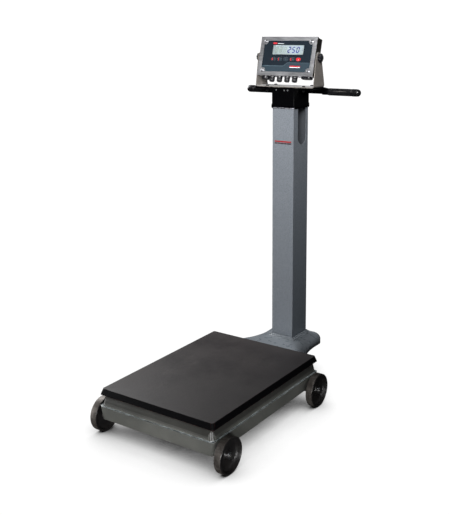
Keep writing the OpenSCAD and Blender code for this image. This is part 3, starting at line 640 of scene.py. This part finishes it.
def split_pins():
    """Bent split pins through the axle ends: an eye, a doubled shank and two spread legs."""
    pin_x, turn = 284, 40
    eye = [Vector((0, 4.2 * math.sin(t), 14 - 4.2 * math.cos(t))) * MM for t in
           [math.radians(20 + 20 * k) for k in range(17)]]
    shapes = []
    for s in (-1, 1):
        leg = [(0, 0.6 * s, 11), (0, 0.8 * s, 4), (0, 0.8 * s, -9), (0, 1.2 * s, -11.5),
               (0, 3.0 * s, -14.5), (0, 6.2 * s, -18.5), (0, 8.0 * s, -20.6)]
        shapes.append(skin(tube_rings([Vector(p) * MM for p in leg], 0.95 * MM, 10)))
    shapes.append(skin(tube_rings(eye, 1.2 * MM, 10)))
    pins = []
    for sx in (-1, 1):
        for sy in (-1, 1):
            middle = Matrix.Translation(at(sx * pin_x, sy * AXLE_Y, AXLE_Z))
            pins.append(moved(together(*shapes), middle @ Matrix.Rotation(math.radians(turn), 4, "X")))
    piece("split_pin_wires", together(*pins), "zinc", "scale", replaces=("split_pins",))


def band_inset(z):
    """How far the base frame's wall stands in from its ledge at a height, in millimetres."""
    ledge, top = 119.4, 158.0
    gap, shelf, lean = 0.5, 6, 22
    if z <= ledge:
        return gap
    rise = min(1.0, (z - ledge) / (top - ledge))
    return shelf + lean * (1 - math.sqrt(1 - rise * rise))


# Column base, front to back: y, half width of its flat top, half width at its foot,
# height of the top, of the shoulder and of the lower edge, in millimetres
FOOT = [
    (352, 150, 190, 158, 112, 92), (380, 130, 170, 158, 112, 96), (407, 112, 154, 158, 113, 100),
    (438, 93, 138, 158, 116, 104), (482, 75, 122, 158, 122, 108), (523, 66, 114, 158, 128, 110),
    (560, 68, 112, 158, 131, 112), (600, 78, 112, 158, 132, 112), (618, 80, 112, 158, 132, 112),
    (630, 76, 108, 154, 131, 112), (637, 70, 102, 147, 129, 112), (640, 64, 96, 136, 126, 113),
]


def between(a, b, c, d, t):
    """A smooth curve's value a share t of the way from b to c, with a and d beyond them."""
    return 0.5 * (2 * b + (c - a) * t + (2 * a - 5 * b + 4 * c - d) * t * t
                  + (3 * b - a - 3 * c + d) * t ** 3)


def foot_rows():
    """The column base's stations with smooth ones added between them."""
    rows = []
    for i in range(len(FOOT) - 1):
        around = [FOOT[max(0, min(len(FOOT) - 1, i + k))] for k in (-1, 0, 1, 2)]
        steps = 6 if i < 8 else 3
        rows += [tuple(between(*values, k / steps) for values in zip(*around)) for k in range(steps)]
    return rows + [FOOT[-1]]


def foot_ring(row, follow_frame=False):
    """One cross section of the column base, open at the bottom, from right to left."""
    y, top, foot, high, shoulder, low = row
    half, steps = [(foot, low)], 14
    for i in range(steps + 1):
        a = math.radians(90 * i / steps)
        half.append((top + (foot - top) * math.cos(a), shoulder + (high - shoulder) * math.sin(a)))
    flat = [(top * k / 4, high) for k in (3, 2, 1, 0)]
    points = half + flat
    points += [(-x, z) for x, z in reversed(points[:-1])]
    if not follow_frame:
        return [at(x, y, z) for x, z in points]
    return [at(x, FRAME_BACK_Y - band_inset(z), z) for x, z in points]


def column_base():
    """The cast foot as a shell that follows the frame's band, with the mouldings round the column."""
    rows = foot_rows()
    rings = [foot_ring(rows[0], follow_frame=True)] + [foot_ring(row) for row in rows[1:]]
    shell = piece("foot_casting", skin(rings, closed=False, caps=(False, True)), "foot_paint", "scale",
                  replaces=("column_base",))
    wall = shell.modifiers.new("wall", "SOLIDIFY")
    wall.thickness = 7 * MM
    wall.offset = -1
    half_x, half_y = COL_W / 2, COL_D / 2
    steps = []
    for grow, radius, z in ((12.5, 3, 156.0), (12.5, 3, 158.6), (12.1, 3, 159.7), (11, 3, 160.4),
                            (7.6, 2.5, 160.6), (6.6, 2.5, 161.2), (6.3, 2.5, 163.5), (5.6, 2.5, 165.0),
                            (4.2, 2, 165.8), (2.0, 2, 166.0), (-1.0, 1, 166.0)):
        steps.append((half_x + grow * MM, half_y + grow * MM, radius * MM, z * MM))
    inner = [(half_x - 1 * MM, half_y - 1 * MM, 1 * MM, 156.0 * MM)]
    ring_shape = skin([rect_ring(*s) for s in steps + inner], caps=(False, False))
    piece("foot_mouldings", ring_shape, "foot_paint", "scale", Matrix.Translation((0, COL_Y, 0)))


# ------------------------------------------------------------------ top of the column


CAP_WALL = 2.5       # how far the cap stands out from the column, in millimetres


def column_cap():
    """The cap over the column: a plain band, a rolled lip and a flat top."""
    half_x, half_y = COL_W / 2, COL_D / 2
    outside = ((CAP_WALL, 1.5, 1196.0), (CAP_WALL, 1.5, 1137.5), (3.2, 1.8, 1136.2), (3.9, 2.4, 1134.6),
               (4.5, 2.8, 1131.5), (4.5, 2.8, 1122.5), (3.9, 2.4, 1119.6), (3.0, 1.8, 1118.2),
               (1.8, 1.2, 1118.0))
    inside = ((0.1, 0.4, 1118.4), (0.1, 0.4, 1190.0))
    rings = [rect_ring(half_x + g * MM, half_y + g * MM, r * MM, z * MM) for g, r, z in outside + inside]
    piece("cap_casting", skin(rings), "black_paint", "scale", Matrix.Translation((0, COL_Y, 0)),
          replaces=("column_cap",))


def column_label():
    """A plain strip on the column's front: a red bar over a broken dark line."""
    front = col_low.y
    low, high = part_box("column_label")
    width, bottom = high.x, low.z
    bar_low, bar_high, dash_high = 7.3 * MM, 13 * MM, 5.2 * MM
    bar = box_shape((-width, front - 0.5 * MM, bottom + bar_low), (width, front, bottom + bar_high))
    piece("label_red_bar", bar, "label_red", "scale", replaces=("column_label",))
    dashes = []
    for start, length in ((-38, 13), (-23, 8), (-13, 17), (6, 11), (19, 19)):
        dashes.append(box_shape((start * MM, front - 0.4 * MM, bottom),
                                ((start + length) * MM, front, bottom + dash_high)))
    piece("label_dark_line", together(*dashes), "label_dark", "scale")


def grips():
    """Moulded grips: a long sleeve, a ring, a capped end with a fine seam."""
    levels = [(10.2, 125), (13.2, 125), (14.2, 125.6), (14.5, 127)]
    levels += [(14.5, x) for x in (150, 175, 200, 223)]
    levels += [(14.3, 224.6), (13.4, 225.4), (13.2, 227.0), (13.4, 228.6), (14.5, 229.4), (14.8, 230.6),
               (14.8, 248.5), (14.5, 249.8), (13.7, 250.4), (13.7, 251.6), (14.4, 252.3)]
    end, radius, reach = 253, 14.5, 13
    for angle in range(0, 86, 12):
        a = math.radians(angle)
        levels.append((radius * math.cos(a), end + reach * math.sin(a)))
    levels += [(0.4, end + reach)]
    shape = turned(metres(levels), 48)
    for side, name in ((-1, "left"), (1, "right")):
        place = along_x(0, HANDLE_Y, HANDLE_Z, side)
        piece(name + "_grip_sleeve", shape, "black_grip", "scale", place, (name + "_grip",))


# ------------------------------------------------------------------ indicator


def face_rect(u, v, width, height, radius, low, high, steps=6):
    """A rounded rectangle on the face, in millimetres from its middle and its lower edge."""
    ring = rect_ring(width / 2, height / 2, radius, 0, steps)
    outline = [((u + p.x) * MM, (v + p.y) * MM) for p in ring]
    return plate(outline, low * MM, high * MM)


def polygon_plate(points, low, high):
    return plate([(x * MM, z * MM) for x, z in points], low * MM, high * MM)


def arc_points(cx, cz, r, start, end):
    steps = 12
    turns = [math.radians(start + (end - start) * k / steps) for k in range(steps + 1)]
    return [(cx + r * math.cos(t), cz + r * math.sin(t)) for t in turns]


# On the face, in millimetres from its middle and its lower edge
SCREW_U, SCREW_LOW, SCREW_HIGH = 105, 19.5, 138.5      # the cover's four screws
OVERLAY_HALF, OVERLAY_LOW = 110.2, 16.3                # the overlay's half width and lower edge
STEP = [(-10, 38), (9, 52)]                            # the slope in the lighter band's upper edge
KEY_V, KEY_PITCH, KEY_SHIFT = 66.0, 28.5, -2           # the row of keys


def band_outline():
    """The lighter lower part of the overlay, with its notches round the screws."""
    notch = 12.8
    reach = math.degrees(math.acos((OVERLAY_HALF - SCREW_U) / notch))
    drop = math.degrees(math.asin((SCREW_LOW - OVERLAY_LOW) / notch))
    points = [(-OVERLAY_HALF, STEP[0][1]), *STEP, (OVERLAY_HALF, STEP[1][1])]
    points += arc_points(SCREW_U, SCREW_LOW, notch, reach, 180 + drop)
    points += arc_points(-SCREW_U, SCREW_LOW, notch, -drop, 180 - reach)
    return points


def overlay_prints():
    """What is printed on the overlay: a lighter band with a pale edge, and plain bars."""
    name, slot, back = "indicator", "overlay_film", -0.75
    band = polygon_plate(band_outline(), -1.0, back)
    piece("overlay_band", band, "overlay_slate", name, INDICATOR)
    left, right = -OVERLAY_HALF, OVERLAY_HALF
    edge = [(left, STEP[0][1]), *STEP, (right, STEP[1][1]), (right, 53.0), (8.6, 53.0), (-10.4, 39.4),
            (left, 39.4)]
    piece("overlay_edge_line", polygon_plate(edge, -1.1, back), "overlay_edge", name, INDICATOR)
    bars = (("bar_red", "overlay_red", 44, 38.0, 48, 3.6), ("bar_white", "overlay_white", 44, 33.4, 48, 3.0),
            ("mark_red", "overlay_red", -60, 130, 18, 7.0),
            ("mark_white", "overlay_white", -34, 129, 28, 2.2))
    for label, look, u, v, width, height in bars:
        shape = face_rect(u, v, width, height, min(1.2, height / 2.2), -1.15, back)
        piece("overlay_" + label, shape, look, name, INDICATOR)


SEGMENTS = {  # which of the seven strokes each digit lights: a is the top one, g the middle
    "0": "abcdef",
    "2": "abged",
    "5": "afgcd",
    "8": "abcdefg",
}


def stroke(segment, width, height, thick):
    """Corner points of one stroke of a digit that is centred on the origin."""
    w, h, t, gap = width / 2, height / 2, thick, 0.35
    flat = {"a": h - t / 2, "g": 0.0, "d": t / 2 - h}
    if segment in flat:
        z, x = flat[segment], w - t / 2 - gap
        return [(-x, z), (-x + t / 2, z + t / 2), (x - t / 2, z + t / 2), (x, z), (x - t / 2, z - t / 2),
                (-x + t / 2, z - t / 2)]
    x = (w - t / 2) * (1 if segment in "bc" else -1)
    low, high = (gap, h - t / 2 - gap) if segment in "bf" else (t / 2 + gap - h, -gap)
    return [(x, low), (x + t / 2, low + t / 2), (x + t / 2, high - t / 2), (x, high),
            (x - t / 2, high - t / 2), (x - t / 2, low + t / 2)]


def digit(character, u, v, low, high):
    """One slanted seven-segment digit as thin plates."""
    slant, width, height, thick = 0.16, 13.8, 25.0, 3.8
    shapes = []
    for segment in SEGMENTS[character]:
        points = [(u + x + slant * z, v + z) for x, z in stroke(segment, width, height, thick)]
        shapes.append(polygon_plate(points, low, high))
    return together(*shapes)


def display():
    """The liquid crystal panel behind its window, with a generic reading and its unlit strokes."""
    pitch, first, v = 19.6, -52.0, 104.5
    places = [first + pitch * i for i in range(6)]
    middle = Matrix.Translation((2 * MM, 9 * MM, 104 * MM))
    upright = INDICATOR @ middle @ FRONTWARD
    front, ghost_front, back = 2.75, 2.8, 3.05
    panel = stacked([(73.5 * MM, 22.5 * MM, 1 * MM, z * MM) for z in (0, 5.9)], 3)
    piece("lcd_glass", panel, "lcd_panel", "indicator", upright, ("display_module",))
    lit = together(*[digit(c, u, v, front, back) for c, u in zip("250", places[3:])])
    piece("lcd_reading", lit, "lcd_digit", "indicator", INDICATOR)
    ghost = together(*[digit("8", u, v, ghost_front, back) for u in places[:3]])
    ticks = [face_rect(u, 87.6, 5.5, 1.4, 0.3, ghost_front, back) for u in range(-60, 53, 16)]
    piece("lcd_unlit", together(ghost, *ticks), "lcd_ghost", "indicator", INDICATOR)
    unit = together(face_rect(66.5, 103, 3.2, 2.6, 0.6, front, back),
                    face_rect(67.0, 108.5, 1.0, 3.4, 0.3, front, back))
    piece("lcd_unit_mark", unit, "lcd_digit", "indicator", INDICATOR)


def keys():
    """Printing on the five keys: outlines, crescents and small generic signs."""
    names = ("zero", "tare", "units", "print", "power")
    for i, name in enumerate(names):
        body = name + "_key"
        u, v = (i - 2) * KEY_PITCH + KEY_SHIFT, KEY_V
        key_pad(u, v, body)
        if i in (0, 1, 3):
            crescent(u + 3.2, v, body)
        if i == 4:
            oval = face_rect(u + 1.0, v, 19, 12.6, 5.6, -1.7, -1.35)
            piece(body + "_oval", oval, "key_red", body, INDICATOR)
        sign(u + 4.6, v, body, i)


def key_pad(u, v, body):
    """The key's pad: a domed rounded pad with a flange, in film."""
    half_x, half_y = 11.0, 7.0
    levels = [(2, 4.5, -4.2), (2, 4.5, -3.0), (0, 4.5, -3.0), (0, 4.5, 0.9), (-0.4, 4.3, 1.25),
              (-1.2, 4.0, 1.45), (-3.0, 2.5, 1.55)]
    rings = [rect_ring((half_x + g) * MM, (half_y + g) * MM, r * MM, z * MM, 6) for g, r, z in levels]
    place = INDICATOR @ Matrix.Translation((u * MM, 0, v * MM)) @ FRONTWARD
    piece(body + "_pad", skin(rings), "key_grey", body, place, (body,))


def crescent(u, v, body):
    """A red crescent at a key's left end."""
    points = arc_points(u - 4.6, v, 5.6, 105, 255) + arc_points(u - 1.0, v, 6.2, 235, 125)
    piece(body + "_crescent", polygon_plate(points, -1.75, -1.35), "key_red", body, INDICATOR)


def sign(u, v, body, index):
    """A small plain sign: bars that stand for no word."""
    bars = {
        0: [(0, 1.6, 5.0, 0.9), (0, -1.0, 5.0, 0.9)],
        1: [(0, 1.8, 6.0, 0.9), (0, 0.0, 0.9, 4.2)],
        2: [(-3.4, 1.4, 4.6, 0.9), (-3.4, -1.4, 4.6, 0.9)],
        3: [(0, 1.4, 4.4, 0.9), (0, -0.4, 4.4, 0.9), (0, -2.2, 4.4, 0.9)],
        4: [(-3.4, 0.0, 0.9, 4.4), (-3.4, -2.0, 4.0, 0.9)],
    }
    look = "overlay_white" if index == 4 else "key_line"
    shapes = [face_rect(u + a, v + b, w, h, 0.3, -1.8, -1.4, steps=2) for a, b, w, h in bars[index]]
    piece(body + "_sign", together(*shapes), look, body, INDICATOR)


def screw_head(radius, height):
    """A domed screw head round +Z with a cross recess pressed into it."""
    rings, count = [], 48
    rings.append(circle_ring(radius * 0.96, -0.3 * MM, count))
    for share in (1.0, 0.985, 0.93, 0.84, 0.72, 0.6, 0.52, 0.44, 0.36, 0.28, 0.2, 0.12, 0.05):
        ring = []
        for i in range(count):
            a = 2 * math.pi * i / count
            x, y = share * math.cos(a), share * math.sin(a)
            dome = height * (0.35 + 0.65 * math.sqrt(max(0.0, 1 - share ** 2)))
            in_cross = min(abs(x), abs(y)) < 0.13 and max(abs(x), abs(y)) < 0.56
            sink = 0.6 * height if in_cross else 0.0
            ring.append(Vector((radius * x, radius * y, dome - sink)))
        rings.append(ring)
    return skin(rings)


def cover_screws():
    """Four screws through the cover, with their washers."""
    heads = []
    rings = ((6.5, 0), (6.5, 0.5), (6.2, 0.8), (2.0, 0.8))
    for u in (-SCREW_U, SCREW_U):
        for v in (SCREW_LOW, SCREW_HIGH):
            place = Matrix.Translation((u * MM, 0, v * MM)) @ FRONTWARD
            washer = turned(metres(rings), 40)
            head = moved(screw_head(4.6 * MM, 2.3 * MM), Matrix.Translation((0, 0, 0.8 * MM)))
            stem = turned(metres([(2.2, -14), (2.2, 0.6)]), 24)
            heads.append(moved(together(washer, head, stem), place))
    piece("cover_screw_heads", together(*heads), "zinc", "indicator", INDICATOR,
          ("cover_screws",), 50)


def cap_screws():
    """Three small bright screws in the cap's front."""
    front, height = col_low.y - CAP_WALL * MM, 1191 * MM
    heads = []
    for x in (-31.5, 6.6, 21):
        place = Matrix.Translation((x * MM, front, height)) @ FRONTWARD
        stem = turned(metres([(1.6, -2.4), (1.6, 0.2)]), 24)
        heads.append(moved(together(screw_head(2.8 * MM, 1.2 * MM), stem), place))
    piece("cap_screw_heads", together(*heads), "zinc", "scale", replaces=("cap_screws",),
          smooth=50)


def hex_ring(across, height):
    """A hexagon with slightly rounded corners."""
    points, count = [], 48
    for i in range(count):
        a = 2 * math.pi * i / count
        fold = (a + math.pi / 6) % (math.pi / 3) - math.pi / 6
        r = min(across / 2 / math.cos(fold), across / 2 * 1.12)
        points.append(Vector((r * math.cos(a), r * math.sin(a), height)))
    return points


def hexagonal(levels):
    """A hexagonal shape round +Z. Each level is (size across flats, height), in millimetres."""
    return skin([hex_ring(*level) for level in metres(levels)])


def cord_grips():
    """Blanked cord grips: hexagon body, fluted dome nut and a blind mouth."""
    nuts = []
    for u in (-68, -33, 2, 37):
        place = Matrix.Translation((u * MM, 24 * MM, 0))
        body = hexagonal([(19, 1.6), (20, 1.2), (20, -7.3), (19, -8.0)])
        dome = [(10.4, -8.0, 0), (11.0, -9.2, 0.2), (11.2, -11, 0.5), (11.0, -16.5, 0.5), (10.2, -19.4, 0.3),
                (8.6, -21.2, 0), (6.2, -22.0, 0), (3.6, -22.0, 0), (3.5, -18.2, 0), (0.3, -18.0, 0)]
        nut = turned(metres(dome), 96, 12, 1.4)
        lock = hexagonal([(20, 3.8), (20, 7.0), (19, 7.6)])
        nuts.append(moved(together(body, nut, lock), place))
    piece("cord_grip_nuts", together(*nuts), "black_plastic", "indicator", INDICATOR,
          ("cord_grips",))


def blanking_plugs():
    """Two low plugs beside the cord grips."""
    round_levels = [(16.0, 1.6), (16.0, -9.6), (15.4, -11.2), (14.0, -12.4), (11.5, -13.0), (9.0, -13.0),
                    (8.6, -12.2), (0.3, -12.2)]
    fluted = metres([(r, z, 0.5 if r > 15 else 0) for r, z in round_levels])
    low_round = moved(turned(fluted, 120, 20, 1.5), Matrix.Translation((-100 * MM, 27 * MM, 0)))
    steps = ((24, 15.5, 15, 1.6), (24, 15.5, 15, -4.8), (23.4, 14.9, 14.5, -6.2), (21.4, 12.9, 12.5, -7.6),
             (19.5, 11.0, 10.8, -8.0), (15, 7, 6.8, -8.0), (14.6, 6.6, 6.5, -7.2), (2, 1, 0.9, -7.2))
    oblong = moved(stacked(metres(steps), 12), Matrix.Translation((90 * MM, 27 * MM, 0)))
    piece("plug_mouldings", together(low_round, oblong), "black_plastic", "indicator", INDICATOR,
          ("blanking_plugs",))


def knobs():
    """Lobed clamp knobs with a domed face and a sunk middle."""
    levels = [(12.0, 135.4, 0), (15.0, 135.6, 1.6), (16.6, 136.4, 3.0), (17.0, 137.6, 3.4),
              (17.0, 143.4, 3.4), (16.6, 145.2, 3.2), (15.4, 146.2, 2.4), (12.5, 146.5, 0.8),
              (10.4, 147.0, 0), (9.9, 149.1, 0), (9.0, 149.5, 0), (5.4, 149.5, 0), (4.8, 148.9, 0),
              (4.4, 148.1, 0), (0.3, 148.1, 0)]
    shape = turned(metres(levels), 128, 8, 1.6)
    stud = turned(metres([(4.0, 122), (4.0, 136)]), 32)
    collar = turned(metres([(12.6, 134.3), (13.0, 134.6), (13.0, 135.5), (12.6, 135.8)]), 48)
    for side, name in ((-1, "left"), (1, "right")):
        place = (INDICATOR @ Matrix.Translation((0, PIVOT_DEPTH, PIVOT_RISE))
                 @ Matrix.Rotation(side * math.pi / 2, 4, "Y"))
        body = name + "_knob"
        piece(body + "_moulding", together(shape, stud), "black_plastic", body, place,
              (body,))
        piece(body + "_collar", collar, "zinc", body, place)


# ------------------------------------------------------------------ stage, camera and light


def stage():
    """A white floor, darkened only where the object shades it, that fades out into the backdrop."""
    rings = [circle_ring(r, 0.0, 96) for r in (0.02, 0.6, 1.2, 2.4, 4.0)]
    verts, faces = skin(rings, caps=(True, False))
    mesh = bpy.data.meshes.new("floor")
    mesh.from_pydata([tuple(v) for v in verts], [], faces)
    floor = bpy.data.objects.new("floor", mesh)
    bpy.context.scene.collection.objects.link(floor)
    look = Look("floor_white")
    shade = look.node("ShaderNodeAmbientOcclusion", samples=24)
    shade.inputs["Distance"].default_value = 0.26
    open_sky = look.maths("POWER", look.scale_to(shade.outputs["AO"], 0.24, 0.86, 0, 1), 0.75)
    glow = look.node("ShaderNodeEmission")
    look.feed(glow.inputs["Color"], look.mixed(open_sky, (0.0, 0.0, 0.0), (1.04, 1.04, 1.04)))
    clear = look.node("ShaderNodeBsdfTransparent")
    length = look.node("ShaderNodeVectorMath", operation="LENGTH")
    look.feed(length.inputs[0], look.space)
    mix = look.node("ShaderNodeMixShader")
    look.feed(mix.inputs["Fac"], look.scale_to(length.outputs["Value"], 1.6, 3.6, 0, 1))
    look.feed(mix.inputs[1], glow.outputs["Emission"])
    look.feed(mix.inputs[2], clear.outputs["BSDF"])
    look.feed(look.tree.nodes["Material Output"].inputs["Surface"], mix.outputs["Shader"])
    mesh.materials.append(look.material)
    floor.visible_diffuse = False
    floor.visible_glossy = False


def camera():
    """The camera's place, turn and lens, as solved for the object's true size."""
    frame_height, focal, above_middle = 515, 837.3, 78.2
    yaw, pitch, roll = math.radians(34.98), math.radians(10.45), math.radians(-0.46)
    data = bpy.data.cameras.new("camera")
    data.sensor_width = 36
    data.lens = focal * data.sensor_width / frame_height
    data.shift_y = -above_middle / frame_height
    data.clip_end = 50
    obj = bpy.data.objects.new("camera", data)
    turn = (Matrix.Rotation(yaw, 4, "Z") @ Matrix.Rotation(math.pi / 2 - pitch, 4, "X")
            @ Matrix.Rotation(roll, 4, "Z"))
    obj.matrix_world = Matrix.Translation((1.722, DECK_Y - 2.377, 1.449)) @ turn
    bpy.context.scene.collection.objects.link(obj)
    bpy.context.scene.camera = obj


def softbox(name, place, target, size, power, spread):
    """An area light aimed at a point, with its power in watts and its spread in degrees."""
    data = bpy.data.lights.new(name, "AREA")
    data.shape = "RECTANGLE"
    data.size, data.size_y = size
    data.energy = power
    data.spread = math.radians(spread)
    obj = bpy.data.objects.new(name, data)
    obj.location = place
    obj.rotation_euler = (Vector(target) - Vector(place)).to_track_quat("-Z", "Y").to_euler()
    bpy.context.scene.collection.objects.link(obj)


SKY_RANGE = (-0.2, 0.9, 0.015, 0.10)   # sine of the height from and to, strength from and to


def surround():
    """White to the eye; as a light, soft overhead and dim below."""
    world = bpy.data.worlds.new("studio")
    bpy.context.scene.world = world
    world.use_nodes = True
    nodes, links = world.node_tree.nodes, world.node_tree.links
    seen = nodes["Background"]
    seen.inputs["Color"].default_value = (1, 1, 1, 1)
    seen.inputs["Strength"].default_value = 1.05
    place = nodes.new("ShaderNodeTexCoord")
    split = nodes.new("ShaderNodeSeparateXYZ")
    links.new(place.outputs["Generated"], split.inputs[0])
    height = nodes.new("ShaderNodeMapRange")
    links.new(split.outputs["Z"], height.inputs["Value"])
    for socket, value in zip(("From Min", "From Max", "To Min", "To Max"), SKY_RANGE):
        height.inputs[socket].default_value = value
    lighting = nodes.new("ShaderNodeBackground")
    lighting.inputs["Color"].default_value = (0.93, 0.96, 1.0, 1)
    links.new(height.outputs["Result"], lighting.inputs["Strength"])
    mix = nodes.new("ShaderNodeMixShader")
    path = nodes.new("ShaderNodeLightPath")
    links.new(path.outputs["Is Camera Ray"], mix.inputs["Fac"])
    links.new(lighting.outputs["Background"], mix.inputs[1])
    links.new(seen.outputs["Background"], mix.inputs[2])
    links.new(mix.outputs["Shader"], nodes["World Output"].inputs["Surface"])


def lights():
    """Softboxes at the front for the head, low at the front and right for the base, and on the left."""
    softbox("key_light", (0.85, -1.2, 1.9), (0, 0.35, 1.3), (0.8, 0.8), 13, 70)
    softbox("front_light", (0.7, -1.8, 0.35), (-0.05, -0.45, 0.1), (0.6, 0.4), 3.0, 70)
    softbox("left_light", (-1.7, 0.5, 1.7), (0, 0.25, 0.2), (1.2, 1.2), 26, 120)
    softbox("corner_light", (-1.2, -0.9, 0.15), (-0.27, -0.45, 0.06), (0.3, 0.2), 0.5, 45)
    softbox("side_light", (1.5, -0.75, 0.05), (0.25, -0.3, 0.08), (0.5, 0.2), 0.9, 60)


bpy.context.scene.view_settings.view_transform = "Standard"
make_materials()
camera()
lights()
surround()
stage()
dress_nodes()
wheels()
split_pins()
column_base()
column_cap()
column_label()
grips()
overlay_prints()
display()
keys()
cover_screws()
cap_screws()
cord_grips()
blanking_plugs()
knobs()
